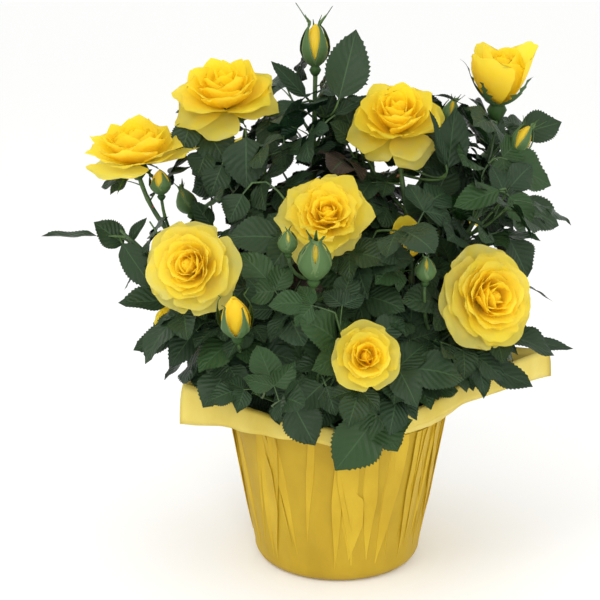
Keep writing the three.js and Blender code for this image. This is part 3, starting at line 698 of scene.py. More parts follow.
# For each shoot: its cane, how far up the cane it starts, the azimuth, reach and height of its tip, the
# azimuth and elevation that the tip faces, its flower and the flower's width.
boughShoots = {
    "upper_left": ("back_left", 0.95, (173, 78, 322), (262, 50), "bloom", 69),
    "far_left": ("left", 0.9, (184, 138, 286), (256, 58), "bloom", 74),
    "left_front": ("left", 0.74, (218, 118, 227), (250, 18), "bloom", 63),
    "centre": ("front", 0.97, (262, 66, 256), (264, 34), "bloom", 65),
    "upper_right": ("right", 0.97, (345, 40, 308), (264, 46), "bloom", 66),
    "right_front": ("right", 0.55, (323, 113, 205), (294, 18), "bloom", 68),
    "top_right": ("back_right", 0.72, (11, 112, 323), (280, 78), "cup", 42),
    "top": ("back_left", 0.62, (118, 35, 348), (100, 86), "bud", 21),
    "inner_right": ("front", 0.78, (318, 57, 228), (285, 55), "cup", 24),
    "right_mid": ("right", 0.72, (352, 98, 256), (350, 34), "none", 0),
    "back_top": ("back_right", 0.95, (75, 82, 300), (70, 58), "bloom", 66),
    "back_left": ("back_left", 0.8, (135, 112, 268), (132, 38), "bloom", 64),
    "back_centre": ("back_left", 0.4, (100, 122, 215), (96, 22), "bloom", 62),
    "back_right": ("back_right", 0.55, (45, 130, 240), (42, 30), "bloom", 67),
}
spurShoots = {
    "low_front": ("front", 0.5, (277, 110, 177), (272, 24), "bloom", 46),
    "left_arm": ("left", 0.5, (191, 150, 243), (190, 8), "none", 0),
    "left_low": ("left", 0.36, (192, 104, 178), (190, 20), "cup", 26),
    "back_low_left": ("back_left", 0.25, (148, 116, 172), (150, 12), "cup", 32),
    "back_low_right": ("back_right", 0.3, (36, 112, 160), (38, 4), "none", 0),
    "back_skirt": ("back_left", 0.18, (92, 100, 148), (92, -6), "none", 0),
    "skirt_left": ("left", 0.24, (228, 98, 150), (226, -8), "none", 0),
    "skirt_front": ("front", 0.3, (258, 92, 148), (266, -18), "none", 0),
    "skirt_right": ("front", 0.4, (297, 94, 158), (300, -4), "none", 0),
    "right_low": ("right", 0.35, (338, 116, 168), (340, 2), "none", 0),
    "crown": ("back_right", 0.85, (44, 30, 318), (270, 84), "none", 0),
    "crown_left": ("left", 0.8, (160, 60, 284), (165, 70), "none", 0),
    "fill_left": ("left", 0.62, (232, 78, 196), (225, 40), "none", 0),
    "fill_front_left": ("front", 0.62, (240, 80, 205), (245, 36), "none", 0),
    "fill_front_right": ("front", 0.6, (312, 92, 178), (310, 20), "none", 0),
    "fill_right": ("right", 0.86, (14, 84, 228), (10, 50), "none", 0),
}
# Side buds: the shoot, how far up its leafy stretch they leave it, tip and face as above, width, how open
# they are, and how long their sepals are beside a full-grown bud's.
sideBuds = (
    ("far_left", 0.45, (190, 122, 266), (250, 84), 15, 0, 0.62),
    ("centre", 0.3, (260, 107, 227), (280, 78), 21, 0.1, 0.85),
    ("centre", 0.42, (249, 96, 240), (255, 80), 13, 0, 0.75),
    ("upper_right", 0.5, (22, 82, 308), (30, 70), 13, 0.3, 0.9),
    ("right_front", 0.3, (303, 96, 220), (280, 80), 14, 0, 0.8),
    ("top_right", 0.5, (5, 122, 290), (10, 62), 15, 0.6, 0.9),
    ("left_front", 0.25, (238, 124, 191), (262, 66), 21, 0.8, 0.75),
    ("back_right", 0.5, (32, 128, 268), (30, 70), 15, 0.2, 1),
    ("back_left", 0.4, (152, 122, 240), (150, 66), 16, 0.1, 1),
)


def caneLine(azimuth):
    foot = polar(azimuth, cane["ring"], soilTop - 4)
    bend = polar(azimuth - 8, cane["ring"] + 3, mix(soilTop, cane["forkHeight"], 0.45))
    return throughKnots([foot, bend, polar(azimuth + 4, cane["forkReach"], cane["forkHeight"])])


caneLines = {name: caneLine(azimuth) for name, azimuth in canes.items()}


def shootLine(caneName, start, tip, face):
    root = pointAt(caneLines[caneName], start)
    end = polar(*tip)
    length = np.linalg.norm(end - root)
    outward = unit((end - root) * (1, 1, 0))
    leave = unit(outward + up * shootRule["low" if start < 0.5 else "high"])
    rise = unit(heading(*face) + up * shootRule["tipRise"])
    return bezier(
        root, root + leave * length * shootRule["rootRun"], end - rise * length * shootRule["tipRun"], end
    )


shoots = {}
for index, (name, entry) in enumerate((boughShoots | spurShoots).items()):
    caneName, start, tip, face, flower, size = entry
    shoots[name] = {
        "name": name,
        "index": index,
        "line": shootLine(caneName, start, tip, face),
        "facing": heading(*face),
        "flower": flower,
        "size": size,
        "leafFrom": bough["share"] if name in boughShoots else 0,
    }

buds = []
for index, (name, leaves, tip, face, size, opened, sepals) in enumerate(sideBuds):
    shoot = shoots[name]
    root = pointAt(shoot["line"], mix(shoot["leafFrom"], 1, leaves))
    end = polar(*tip)
    length = np.linalg.norm(end - root)
    line = bezier(root, end - heading(*face) * length * 0.5, end)
    bud = {"index": index, "line": line, "facing": heading(*face), "size": size, "flower": "bud"}
    buds.append(bud | {"opened": opened, "sepals": sepals})


bark = {
    "grain": (0.5, 0.5, 0.13),  # it runs along the stem, so it is finer across than along
    "knots": 0.16,
    "knotsFrom": 0.25,
    "knotHeight": 2,
}


def makeLimbs(name, limbs, sides, finish, nodes, roughness, seed):
    # limbs are lines with a radius at each point; the bark's relief is worked into the mesh
    curve = bpy.data.curves.new(name, "CURVE")
    curve.dimensions = "3D"
    curve.bevel_depth = 1
    curve.bevel_resolution = sides
    curve.use_fill_caps = True
    for line, radii in limbs:
        spline = curve.splines.new("POLY")
        spline.points.add(len(line) - 1)
        spline.points.foreach_set("co", np.column_stack([line * mm, np.ones(len(line))]).ravel())
        spline.points.foreach_set("radius", np.asarray(radii) * mm)
    maker = bpy.data.objects.new(name + "_line", curve)
    bpy.context.scene.collection.objects.link(maker)
    mesh = bpy.data.meshes.new_from_object(maker.evaluated_get(bpy.context.evaluated_depsgraph_get()))
    bpy.data.objects.remove(maker)
    mesh.name = name
    count = len(mesh.vertices)
    points = np.empty(count * 3)
    normals = np.empty(count * 3)
    mesh.vertices.foreach_get("co", points)
    mesh.vertices.foreach_get("normal", normals)
    points, normals = points.reshape(-1, 3), normals.reshape(-1, 3)
    lift = [noise.noise(spot) for spot in points / mm * bark["grain"] + (0, 0, seed)]
    knots = [max(0, noise.noise(spot) - bark["knotsFrom"]) for spot in points / mm * bark["knots"]]
    points += normals * (roughness * mm * (np.array(lift) + bark["knotHeight"] * np.array(knots)))[:, None]
    mesh.vertices.foreach_set("co", points.ravel())
    mesh.materials.clear()
    mesh.materials.append(finish)
    mesh.polygons.foreach_set("use_smooth", np.ones(len(mesh.polygons), dtype=bool))
    mesh.update()
    print(name, "has", sum(len(face.vertices) - 2 for face in mesh.polygons), "triangles")
    return finishPiece(bpy.data.objects.new(name, mesh), nodes)


def swollen(radii, every, by):  # a stem swells a little at each node
    return [radius * (1 + by * (i % every == every // 2)) for i, radius in enumerate(radii)]


caneLimbs = []
for name, line in caneLines.items():
    shares = np.linspace(cane["from"], 1, 34)
    radii = np.interp(shares, (0, cane["neckAt"], 1), (cane["foot"], cane["neck"], cane["tip"]))
    radii[-1] *= 0.55  # its end is rounded off
    caneLimbs.append((stretch(line, cane["from"], 1, 34), swollen(radii, 8, 0.12)))
makeLimbs("rose_canes", caneLimbs, 4, caneFinish, [f"cane_{name}" for name in canes], 0.45, 3)

boughLimbs = []
for name in boughShoots:
    line = stretch(shoots[name]["line"], stem["from"], bough["share"], 26)
    boughLimbs.append((line, swollen(np.linspace(bough["rootRadius"], stem["rootRadius"], 26), 7, 0.13)))
makeLimbs("rose_boughs", boughLimbs, 3, boughFinish, [f"bough_{name}" for name in boughShoots], 0.32, 5)
print("canes and boughs made")


# What leaves keep clear of

flowers = []
for flowering in [*(s for s in shoots.values() if s["flower"] != "none"), *buds]:
    openFlower = flowering["flower"] == "bloom"
    size = flowering["size"]
    flowers.append({
        "at": flowering["line"][-1] + flowering["facing"] * size * (0.14 if openFlower else 0.55),
        "facing": flowering["facing"],
        "radius": size * (0.52 if openFlower else 0.6),
        "height": size * (0.3 if openFlower else 0.95),
        "open": openFlower,
    })

clearing = {
    "cube": 4.2,  # a leaf has the cubes that it passes through to itself
    "shared": 2,  # but may share this many
    # in front, leaves hang no lower than this line across the frame, so that they show the collar
    "hemAcross": (150, 183, 230, 300, 330, 360, 400, 450, 500, 553, 600),
    "hemDown": (384, 398, 412, 432, 438, 440, 436, 408, 390, 362, 344),
    "front": 2.6,  # how much further an open bloom stays clear in front of it
    "hemBehind": 10,  # leaves further back than this may hang lower
    "flowerBack": 0.93,  # how much of an open bloom that faces the camera stays clear of leaves
    "soil": 3,
    "paper": 2,
    "besidePot": 34,  # how far below the pot's rim leaves may hang beside it
    # places where light comes through the crown, in the 600 by 600 frame: middle and radius
    "sky": (
        (185, 208, 15), (165, 200, 10), (218, 221, 7), (330, 108, 7), (380, 160, 6), (455, 62, 30),
        (438, 32, 40), (418, 182, 7), (490, 252, 7), (204, 168, 5), (280, 178, 5), (300, 90, 7),
        (575, 250, 22), (590, 130, 26), (575, 60, 34), (560, 420, 30), (120, 330, 20), (90, 280, 24),
        (60, 215, 22), (70, 330, 40), (140, 60, 40), (60, 120, 50), (235, 30, 28), (385, 30, 14),
        (405, 55, 16), (545, 322, 14), (575, 300, 12), (520, 80, 6), (478, 90, 7), (100, 200, 10),
        (165, 400, 18), (150, 435, 20), (545, 88, 20), (570, 165, 20), (132, 382, 24), (118, 272, 8),
        (396, 72, 20), (592, 200, 30), (574, 262, 18), (585, 320, 14), (256, 44, 14), (78, 258, 20),
        (250, 30, 16), (548, 140, 8), (113, 340, 12), (600, 380, 30), (120, 204, 13), (148, 208, 8),
        (105, 286, 8), (112, 256, 6), (120, 230, 26), (128, 300, 14), (554, 262, 13), (549, 281, 8),
        (560, 204, 8),
    ),
}
lowestBox, highestBox = np.array(cadBox[0]) / mm + 2, np.array(cadBox[1]) / mm - 2


def clearOfPot(points):
    for point in points:
        radius = math.hypot(point[0], point[1])
        reach, height, _ = collarEdge(azimuthOf(point))
        if radius < pot["rimRadius"] - pot["wall"]:
            lowest = soilTop + clearing["soil"]
        elif radius > reach + collar["hemSpread"] + 3:
            lowest = pot["top"] - clearing["besidePot"]
        else:
            share = min(max((radius - collar["innerRadius"]) / (reach - collar["innerRadius"]), 0), 1)
            lowest = mix(collar["base"], height, share**1.5) + collar["sheet"] + clearing["paper"]
        if point[2] < lowest:
            return False
    return True


def clearOfFlowers(points):
    for flower in flowers:
        away = points - flower["at"]
        axial = away @ flower["facing"]
        across = np.sqrt(np.maximum(0, (away * away).sum(axis=1) - axial * axial))
        height = flower["height"] * np.where(axial > 0, clearing["front"] if flower["open"] else 1, 1)
        if (np.hypot(across / (flower["radius"] + 1), axial / (height + 1)) < 1).any():
            return False
    return True


# An open bloom that the camera sees is never hidden by a leaf.
shownBlooms = []
for flower in flowers:
    if flower["open"] and flower["facing"][1] < 0:
        x, y, depth = (float(value[0]) for value in onFrame(flower["at"][None]))
        shownBlooms.append((x, y, depth, flower["radius"] * clearing["flowerBack"] * focal / depth))


def leavesViewOpen(points):
    x, y, depth = onFrame(points)
    hem = np.interp(x, clearing["hemAcross"], clearing["hemDown"])
    if ((y > hem) & (points[:, 1] < clearing["hemBehind"])).any():
        return False
    for middleX, middleY, radius in clearing["sky"]:
        if (np.hypot(x - middleX, y - middleY) < radius).any():
            return False
    for middleX, middleY, bloomDepth, radius in shownBlooms:
        if ((np.hypot(x - middleX, (y - middleY) * 1.15) < radius) & (depth < bloomDepth)).any():
            return False
    return True


def fits(points, inside=0):
    if (points < lowestBox + inside).any() or (points > highestBox - inside).any():
        return False
    return clearOfFlowers(points) and leavesViewOpen(points) and clearOfPot(points)


taken = set()


def cubesOf(points):
    return set(map(tuple, np.floor(points / clearing["cube"]).astype(int)))


for line in caneLines.values():
    taken |= cubesOf(stretch(line, 0, 1, 30))
for shoot in shoots.values():
    taken |= cubesOf(stretch(shoot["line"], 0.03, 1, 60))
for bud in buds:
    taken |= cubesOf(stretch(bud["line"], 0.1, 1, 20))


# Leaves

leafRule = {
    "spacing": 6.5,  # between the nodes of a stem
    "stalk": 1.9,
    "leave": 58,  # its angle from the stem
    "bend": 0.55,  # how much it falls over under its weight
    "arch": 0.12,  # how much its sides fall
    "turn": 137.5,  # from one leaf to the next
    "tries": 12,
    "tryTurn": 67,
    "sizes": (0.62, 1.0),
    "young": 0.74,  # the size of the two leaves under a flower, which have three leaflets
    "stalkRadii": (1.05, 0.5),
    "reach": 82,
    # each leaflet: where it leaves the stalk, its angle, its length and its width
    "leaflets": (
        (15, -68, 23, 17),
        (15, 68, 23, 17),
        (29, -56, 33, 25),
        (29, 56, 33, 25),
        (39, 0, 43, 32),
    ),
    "rows": 8,
    "teeth": 0.085,
    "fold": 0.2,  # how far the halves rise from the rib
    "curl": 0.13,  # how far the tip falls
    "wave": 0.06,
    "pucker": 0.018,
}


def makeLeaflet():
    bm = bmesh.new()
    bmesh.ops.create_grid(bm, x_segments=5, y_segments=leafRule["rows"], size=1)
    for vert in bm.verts:
        near = round(abs(vert.co.x), 2)
        vert.co.x = math.copysign({1: 1, 0.6: 0.5, 0.2: 0.035}[near], vert.co.x)
        vert.co.y = (vert.co.y + 1) / 2
    for edge in [e for e in bm.edges if all(abs(v.co.x) > 0.99 for v in e.verts)]:
        low, high = sorted(edge.verts, key=lambda v: v.co.y)
        if low.co.y < 0.01 or high.co.y > 0.99:
            continue
        ahead = edge
        for i in range(3):
            ahead, made = bmesh.utils.edge_split(ahead, low, 1 / (4 - i))
            made.co.z = (1, 0, 1)[i]  # marks the point of a tooth
            low = made
            ahead = next(e for e in made.link_edges if high in e.verts)
    for end in (0, 1):
        row = [v for v in bm.verts if abs(v.co.y - end) < 0.001]
        bmesh.ops.pointmerge(bm, verts=row, merge_co=(0, end, 0))
    return templateOf(bm)


leaflet = makeLeaflet()
leafletU, leafletV, leafletTooth = leaflet["points"].T
leafletBlade = np.column_stack([leafletU, leafletV, np.zeros(len(leafletU))])
ribFaces = (np.abs(leaflet["middles"][:, 0]) < 0.03).astype(int)
leafletEdge = np.sin(np.pi * np.clip(leafletV, 0, 1) ** 0.8) ** 0.8 * (1 - 0.22 * leafletV**5)
print("a leaflet has", len(leaflet["sizes"]), "faces")


def leafletInLeaf(root, angle, length, width, *keys):
    # a leaflet in its leaf's plane: along the leaf, across it and over it
    v = leafletV + 0.018 * leafletTooth
    half = width / 2 * leafletEdge
    x = v * length
    y = leafletU * half * (1 + leafRule["teeth"] * leafletTooth)
    fold = leafRule["fold"] * between(0.3, 1.8, *keys, 1)
    curl = leafRule["curl"] * between(0.2, 1.8, *keys, 2)
    ripple = np.sin(leafletV * 9 + math.tau * chance(*keys, 3)) * leafletU**2
    aside = np.abs(leafletU)
    pucker = np.cos(leafletV * math.pi * leafRule["rows"]) * aside * (1 - aside) * 4
    lift = fold * np.abs(y) - curl * length * leafletV**2
    lift += width * (leafRule["wave"] * ripple + leafRule["pucker"] * pucker)
    turn = math.radians(angle)
    return root + x * math.cos(turn) - y * math.sin(turn), x * math.sin(turn) + y * math.cos(turn), lift


def laid(leaf, onward, across, lift):
    # on the leaf's own bent line
    root, knee, tip = leaf["line"]
    share = np.clip(onward / leafRule["reach"], 0, 1)[:, None]
    place = mix(mix(root, knee, share), mix(knee, tip, share), share)
    ahead = mix(knee - root, tip - knee, share)
    ahead = ahead / np.linalg.norm(ahead, axis=1, keepdims=True)
    normal = np.cross(ahead, leaf["side"])
    fall = np.maximum(0, np.abs(across) - leafRule["stalk"]) * leafRule["arch"]
    across, lift = across * leaf["size"], (lift - fall) * leaf["size"]
    return place + leaf["side"] * across[:, None] + normal * lift[:, None]


probeSpots = [(v, u) for v in (0.12, 0.3, 0.5, 0.7, 0.88) for u in (-0.8, 0, 0.8)] + [(1, 0)]


def leafProbes(leaf):
    onward, across = [12.0, 24.0, 34.0], [0.0, 0.0, 0.0]
    for root, angle, length, width in leafRule["leaflets"][leaf["first"] :]:
        turn = math.radians(angle)
        for v, u in probeSpots:
            x = v * length
            y = u * width / 2 * min(v / 0.42, (1 - v) / 0.58)
            onward.append(root + x * math.cos(turn) - y * math.sin(turn))
            across.append(x * math.sin(turn) + y * math.cos(turn))
    return laid(leaf, np.array(onward), np.array(across), np.zeros(len(onward)))


def plannedLeaf(line, index, node, turn, attempt, scale, first):
    # a leaf leaves the stem at an angle, bends over under its weight, and turns its face to the light
    root = pointAt(line, node)
    tangent = headingAt(line, node)
    aside = np.array([1.0, 0, 0]) if abs(tangent[2]) > 0.95 else up
    radial = turned(unit(np.cross(tangent, aside)), tangent, turn)
    keys = (index, node * 100, attempt)
    lean = math.radians(leafRule["leave"] + between(-14, 14, *keys, 1))
    start = tangent * math.cos(lean) + radial * math.sin(lean)
    size = between(*leafRule["sizes"], *keys, 2) * (1 - 0.015 * attempt) * scale
    half = leafRule["reach"] * size / 2
    knee = root + start * half
    fall = unit(start - up * leafRule["bend"] * between(0.5, 1.3, *keys, 3))
    light = unit(root * (1, 1, 0)) + up * 0.9
    return {
        "line": (root, knee, knee + fall * half),
        "side": unit(np.cross(light, start + fall)),
        "size": size,
        "first": first,  # the first of its leaflets that it has
        "keys": (index, node * 10),
    }


leaves = []


def growLeaf(line, index, node, turn, scale, first=0):
    for attempt in range(leafRule["tries"]):
        leaf = plannedLeaf(line, index, node, turn + attempt * leafRule["tryTurn"], attempt, scale, first)
        probes = leafProbes(leaf)
        cubes = cubesOf(probes)
        if len(cubes & taken) <= clearing["shared"] and fits(probes):
            taken.update(cubes)
            leaves.append(leaf)
            return


# Leaves that stand out in the crown's outline: the shoot and how far up it their stalk leaves it, the base
# and the tip of the end leaflet in the 600 by 600 frame, the place of both along Y, the leaflet's width, how
# many pairs of side leaflets stand behind it, the way its face looks, and its colour.
# The bright ones among them stand at the right and low in front, as painted light.
outlineLeaves = (
    ("top", 0.86, (339, 99), (357, 29), (-6, -2), 29, 0, (280, 18), "mid"),
    ("top", 0.7, (335, 115), (369, 92), (0, 14), 11, 0, (300, 60), "dark"),
    ("top", 0.75, (306, 97), (271, 61), (20, 10), 12, 0, (240, 40), "dark"),
    ("top", 0.6, (301, 103), (267, 118), (10, 0), 15, 0, (250, 50), "dark"),
    ("upper_right", 0.86, (448, 168), (455, 107), (-20, -24), 25, 0, (290, 20), "dark"),
    ("upper_right", 0.8, (446, 165), (427, 110), (-34, -40), 10, 0, (330, 10), "dark"),
    ("top_right", 0.72, (521, 133), (561, 123), (20, 30), 24, 0, (285, 34), "mid"),
    ("top_right", 0.66, (491, 146), (495, 108), (20, 24), 17, 0, (270, 20), "dark"),
    ("right_mid", 0.9, (507, 160), (551, 186), (-2, 6), 30, 1, (290, 36), "bright"),
    ("right_mid", 0.84, (509, 196), (533, 223), (-24, -30), 22, 0, (290, 30), "bright"),
    ("right_mid", 0.78, (499, 190), (453, 208), (-30, -44), 20, 0, (262, 40), "bright"),
    ("right_mid", 0.94, (520, 205), (563, 224), (0, 10), 25, 0, (285, 30), "mid"),
    ("right_mid", 0.6, (510, 240), (529, 278), (-10, 0), 24, 0, (285, 6), "dark"),
    ("right_mid", 0.5, (520, 283), (555, 299), (-20, -10), 12, 0, (270, 86), "mid"),
    ("left_arm", 0.96, (97, 236), (41, 237), (-24, -34), 18, 0, (270, 88), "mid"),
    ("left_arm", 0.84, (124, 244), (94, 222), (-20, -26), 19, 0, (275, 30), "mid"),
    ("left_arm", 0.8, (129, 242), (145, 217), (-22, -24), 8, 0, (250, 30), "dark"),
    ("left_arm", 0.76, (122, 243), (153, 291), (-28, -40), 20, 0, (240, 20), "mid"),
    ("top", 0.5, (354, 136), (341, 97), (14, 6), 25, 0, (270, 30), "dark"),
    ("top", 0.46, (352, 140), (330, 122), (6, -2), 16, 0, (262, 40), "mid"),
    ("top", 0.56, (324, 122), (333, 92), (30, 26), 17, 0, (270, 30), "dark"),
    ("top", 0.54, (344, 112), (366, 100), (30, 26), 17, 0, (290, 40), "mid"),
    ("upper_left", 0.8, (190, 122), (181, 156), (0, -6), 20, 0, (260, 20), "dark"),
    ("upper_left", 0.78, (207, 129), (226, 163), (4, -2), 27, 0, (262, 40), "dark"),
    ("upper_left", 0.74, (206, 152), (197, 176), (-2, -8), 20, 0, (262, 30), "dark"),
    ("upper_left", 0.72, (214, 180), (192, 192), (20, 26), 19, 0, (262, 30), "dark"),
    ("upper_left", 0.76, (208, 160), (190, 174), (24, 30), 18, 0, (262, 30), "dark"),
    ("upper_left", 0.7, (222, 165), (209, 197), (-8, -14), 20, 0, (266, 30), "dark"),
    ("upper_left", 0.66, (246, 137), (246, 189), (-10, -20), 30, 0, (262, 34), "dark"),
    ("upper_left", 0.6, (270, 118), (268, 157), (14, 6), 18, 0, (266, 30), "mid"),
    ("upper_left", 0.56, (284, 144), (281, 174), (4, 0), 15, 0, (270, 30), "dark"),
    ("centre", 0.5, (243, 194), (228, 222), (-40, -46), 20, 0, (262, 40), "mid"),
    ("centre", 0.45, (254, 214), (233, 244), (-16, -22), 19, 0, (262, 40), "dark"),
    ("right_mid", 0.62, (452, 186), (468, 158), (36, 40), 20, 0, (270, 30), "dark"),
    ("right_mid", 0.58, (432, 198), (428, 164), (30, 34), 17, 0, (270, 30), "dark"),
    ("right_mid", 0.64, (476, 190), (494, 166), (30, 34), 20, 0, (280, 30), "dark"),
    ("right_mid", 0.66, (478, 206), (502, 234), (20, 24), 22, 0, (280, 30), "dark"),
    ("right_mid", 0.56, (436, 196), (452, 162), (0, 4), 24, 0, (270, 30), "dark"),
    ("right_mid", 0.5, (452, 214), (476, 176), (0, 4), 26, 0, (280, 30), "dark"),
    ("right_mid", 0.46, (424, 214), (404, 190), (-20, -26), 20, 0, (262, 36), "mid"),
    ("far_left", 0.6, (212, 226), (193, 200), (-20, -24), 13, 0, (265, 10), "dark"),
    ("left_low", 0.82, (178, 333), (133, 350), (-52, -58), 21, 1, (262, 48), "mid"),
    ("left_low", 0.7, (172, 300), (118, 303), (-40, -46), 22, 0, (256, 56), "mid"),
    ("left_low", 0.6, (196, 330), (168, 366), (-60, -70), 20, 0, (250, 30), "dark"),
    ("skirt_left", 0.9, (226, 372), (203, 408), (-84, -94), 24, 1, (250, 34), "mid"),
    ("skirt_front", 0.9, (374, 420), (335, 472), (-104, -108), 32, 1, (268, 10), "bright"),
    ("skirt_front", 0.8, (366, 436), (413, 420), (-104, -108), 19, 0, (275, 34), "bright"),
    ("skirt_front", 0.7, (293, 404), (315, 446), (-100, -108), 25, 0, (262, 24), "mid"),
    ("skirt_front", 0.6, (322, 384), (296, 408), (-106, -112), 22, 0, (262, 30), "mid"),
    ("skirt_front", 0.62, (326, 386), (336, 416), (-108, -114), 15, 0, (266, 20), "mid"),
    ("low_front", 0.7, (334, 362), (296, 324), (-96, -104), 17, 0, (262, 40), "mid"),
    ("low_front", 0.6, (330, 362), (293, 368), (-98, -106), 16, 0, (262, 56), "mid"),
    ("right_low", 0.9, (517, 340), (574, 348), (-44, -36), 13, 0, (285, 60), "dark"),
    ("right_low", 0.7, (478, 362), (534, 386), (-66, -62), 23, 1, (285, 50), "mid"),
    ("right_low", 0.6, (478, 364), (486, 396), (-76, -84), 12, 0, (270, 30), "dark"),
)


leafHeaps = {shade: newHeap() for shade in leafFinishes}
stalks = []


# how a leaf of the outline is built: its stalk's radii, and how its side leaflets differ from the end one
outlineRule = {
    "stalk": (1.1, 0.75),
    "sideAngle": 64,
    "sideFrom": 4,
    "sideStep": 12,
    "sideLength": 0.66,
    "sideWidth": 0.7,
    "arch": 0.078,  # how far the end leaflet's tip lifts
}


def stampLeaflet(shade, points):
    pile(leafHeaps[shade], points, leaflet, ribFaces)
    leafHeaps[shade]["blades"].append(leafletBlade)


def layOutlineLeaf(index, name, node, base, tip, along, width, pairs, face, shade):
    # its stalk swings out of the stem, and the side leaflets stand on its last stretch
    foot, end = behindFrame(base, along[0]), behindFrame(tip, along[1])
    root = pointAt(shoots[name]["line"], node)
    length, ahead = np.linalg.norm(end - foot), unit(end - foot)
    side = unit(np.cross(heading(*face), ahead))
    stalk = bezier(root, foot - ahead * np.linalg.norm(foot - root) * 0.45, foot)
    stalks.append((stretch(stalk, 0, 1), np.linspace(*outlineRule["stalk"], 12)))
    blades = [(0, 0, length, width)]
    small = length * outlineRule["sideLength"], width * outlineRule["sideWidth"]
    for pair in range(pairs):
        for hand in (-1, 1):
            start = -outlineRule["sideFrom"] - outlineRule["sideStep"] * pair
            blades.append((start, hand * outlineRule["sideAngle"], *small))
    for i, (start, angle, bladeLength, bladeWidth) in enumerate(blades):
        onward, across, lift = leafletInLeaf(start, angle, bladeLength, bladeWidth, index, i, 5)
        if i == 0:
            lift += outlineRule["arch"] * length * (onward / length) ** 2
        points = placed(np.column_stack([onward, across, lift]), foot, ahead, side, np.cross(ahead, side))
        stampLeaflet(shade, points)
        taken.update(cubesOf(points))


for index, entry in enumerate(outlineLeaves):
    layOutlineLeaf(index, *entry)

# Finer twigs leave the stems between the leaves and carry smaller leaves of three leaflets.
twigRule = {
    "every": 26,
    "length": 44,
    "radii": (1.32, 0.55),
    "leave": 46,  # its angle from the stem
    "run": 0.9,
    "rise": 0.3,
    "inside": 18,  # how far inside the box its tip stays
    "leaves": 4,
    "size": 0.8,  # of its leaves
}
# Short sprigs leave the canes low down and fill the pot.
sprigRule = {"count": 28, "start": 0.3, "reach": (44, 86), "height": (122, 148), "rise": 9, "leaves": 5}
twigs = []
for i in range(sprigRule["count"]):
    azimuth = i * 360 / sprigRule["count"] + between(-6, 6, i, 33)
    near = min(canes, key=lambda name: apart(canes[name], azimuth))
    root = pointAt(caneLines[near], sprigRule["start"] * between(0.6, 1.6, i, 34))
    end = polar(azimuth, between(*sprigRule["reach"], i, 35), between(*sprigRule["height"], i, 36))
    sprig = bezier(root, mix(root, end, 0.5) + up * sprigRule["rise"], end)
    twigs.append({"line": sprig, "index": 60 + i, "leaves": sprigRule["leaves"]})
    taken |= cubesOf(stretch(sprig, 0.2, 1, 10))
for shoot in shoots.values():
    line = shoot["line"]
    count = max(1, int(lengthOf(line) * (1 - shoot["leafFrom"]) / twigRule["every"]))
    for i in range(count):
        node = mix(shoot["leafFrom"], 1, (i + 0.4) / (count + 0.25))
        root, tangent, radial = besideLine(line, node, 360 * chance(shoot["index"], i, 31))
        lean = math.radians(twigRule["leave"])
        length = twigRule["length"] * between(0.7, 1.2, shoot["index"], i, 32)
        leave = tangent * math.cos(lean) + radial * math.sin(lean)
        end = root + leave * length * twigRule["run"] + up * length * twigRule["rise"]
        if fits(end[None], twigRule["inside"]):
            twig = bezier(root, root + leave * length * 0.5, end)
            index = 100 + shoot["index"] * 5 + i
            twigs.append({"line": twig, "index": index, "leaves": twigRule["leaves"]})
            taken |= cubesOf(stretch(twig, 0.1, 1, 10))

# All shoots grow their leaves in turn, from their tips down, so that none takes the room of another.
rounds = []
for shoot in shoots.values():
    length = lengthOf(shoot["line"]) * (1 - shoot["leafFrom"])
    rounds.append((shoot, max(5, round(length / leafRule["spacing"]))))
for turn in range(max(count for _, count in rounds)):
    for shoot, count in rounds:
        if turn >= count:
            continue
        last = 0.99 if shoot["flower"] == "none" else 0.9
        share = mix(last, 0.05 if shoot["leafFrom"] else 0.2, turn / (count - 1))
        node = mix(shoot["leafFrom"], 1, share)
        angle = turn * leafRule["turn"] + between(0, 360, shoot["index"])
        young = turn < 2 and shoot["flower"] != "none"
        size, first = (leafRule["young"], 2) if young else (1, 0)
        growLeaf(shoot["line"], shoot["index"], node, angle, size, first)
print(len(leaves), "leaves on the stems")
for twig in twigs:
    for i in range(twig["leaves"]):
        node = 1 - i * 0.9 / twig["leaves"]
        turn = i * leafRule["turn"] + twig["index"] * 40
        growLeaf(twig["line"], twig["index"], node, turn, twigRule["size"], 2)
print(len(leaves), "leaves with those on", len(twigs), "twigs")


# The share of leaves of each shade. Tones differ at random everywhere, and lighter leaves are dealt out more
# at the right, high up and in front, where light falls, and darker ones elsewhere: painted light and painted
# shade.
shadeRule = {
    "young": 0.06,
    "youngFrom": 215,
    "everywhere": 0.25,
    "right": 0.45,
    "front": 0.15,
    "bright": 0.55,
    "dark": 0.5,
    "darkLess": 0.3,
}


def shadeOf(leaf):
    x, y, z = leaf["line"][1]
    draw = chance(*leaf["keys"], 18)
    # painted light: more light leaves at the right, high up and in front, and more dark ones where this is
    # small
    light = shadeRule["everywhere"] + shadeRule["right"] * smooth(30, 130, x) * smooth(140, 220, z)
    light += shadeRule["front"] * smooth(-60, -120, y)
    if draw < shadeRule["young"] and z > shadeRule["youngFrom"]:
        return "young"
    if draw > 1 - light * shadeRule["bright"]:
        return "bright"
    return "dark" if draw < shadeRule["dark"] - light * shadeRule["darkLess"] else "mid"


for leaf in leaves:
    shade = shadeOf(leaf)
    for i in range(leaf["first"], len(leafRule["leaflets"])):
        root, angle, length, width = leafRule["leaflets"][i]
        keys = (leaf["keys"][0] + i * 7.3, leaf["keys"][1])
        angle += between(-7, 7, *keys, 4)
        stampLeaflet(shade, laid(leaf, *leafletInLeaf(root, angle, length, width, *keys)))
    onward = np.linspace(0, leafRule["leaflets"][-1][0] + 1, 7)
    rachis = laid(leaf, onward, np.zeros(7), np.full(7, -0.4))
    stalks.append((rachis, np.linspace(*leafRule["stalkRadii"], 7) * leaf["size"]))

massNodes = [f"foliage_{name}" for name in shoots]
for shade, heap in leafHeaps.items():
    makePiece(f"leaves_{shade}", heap, [leafFinishes[shade], ribFinish], massNodes)

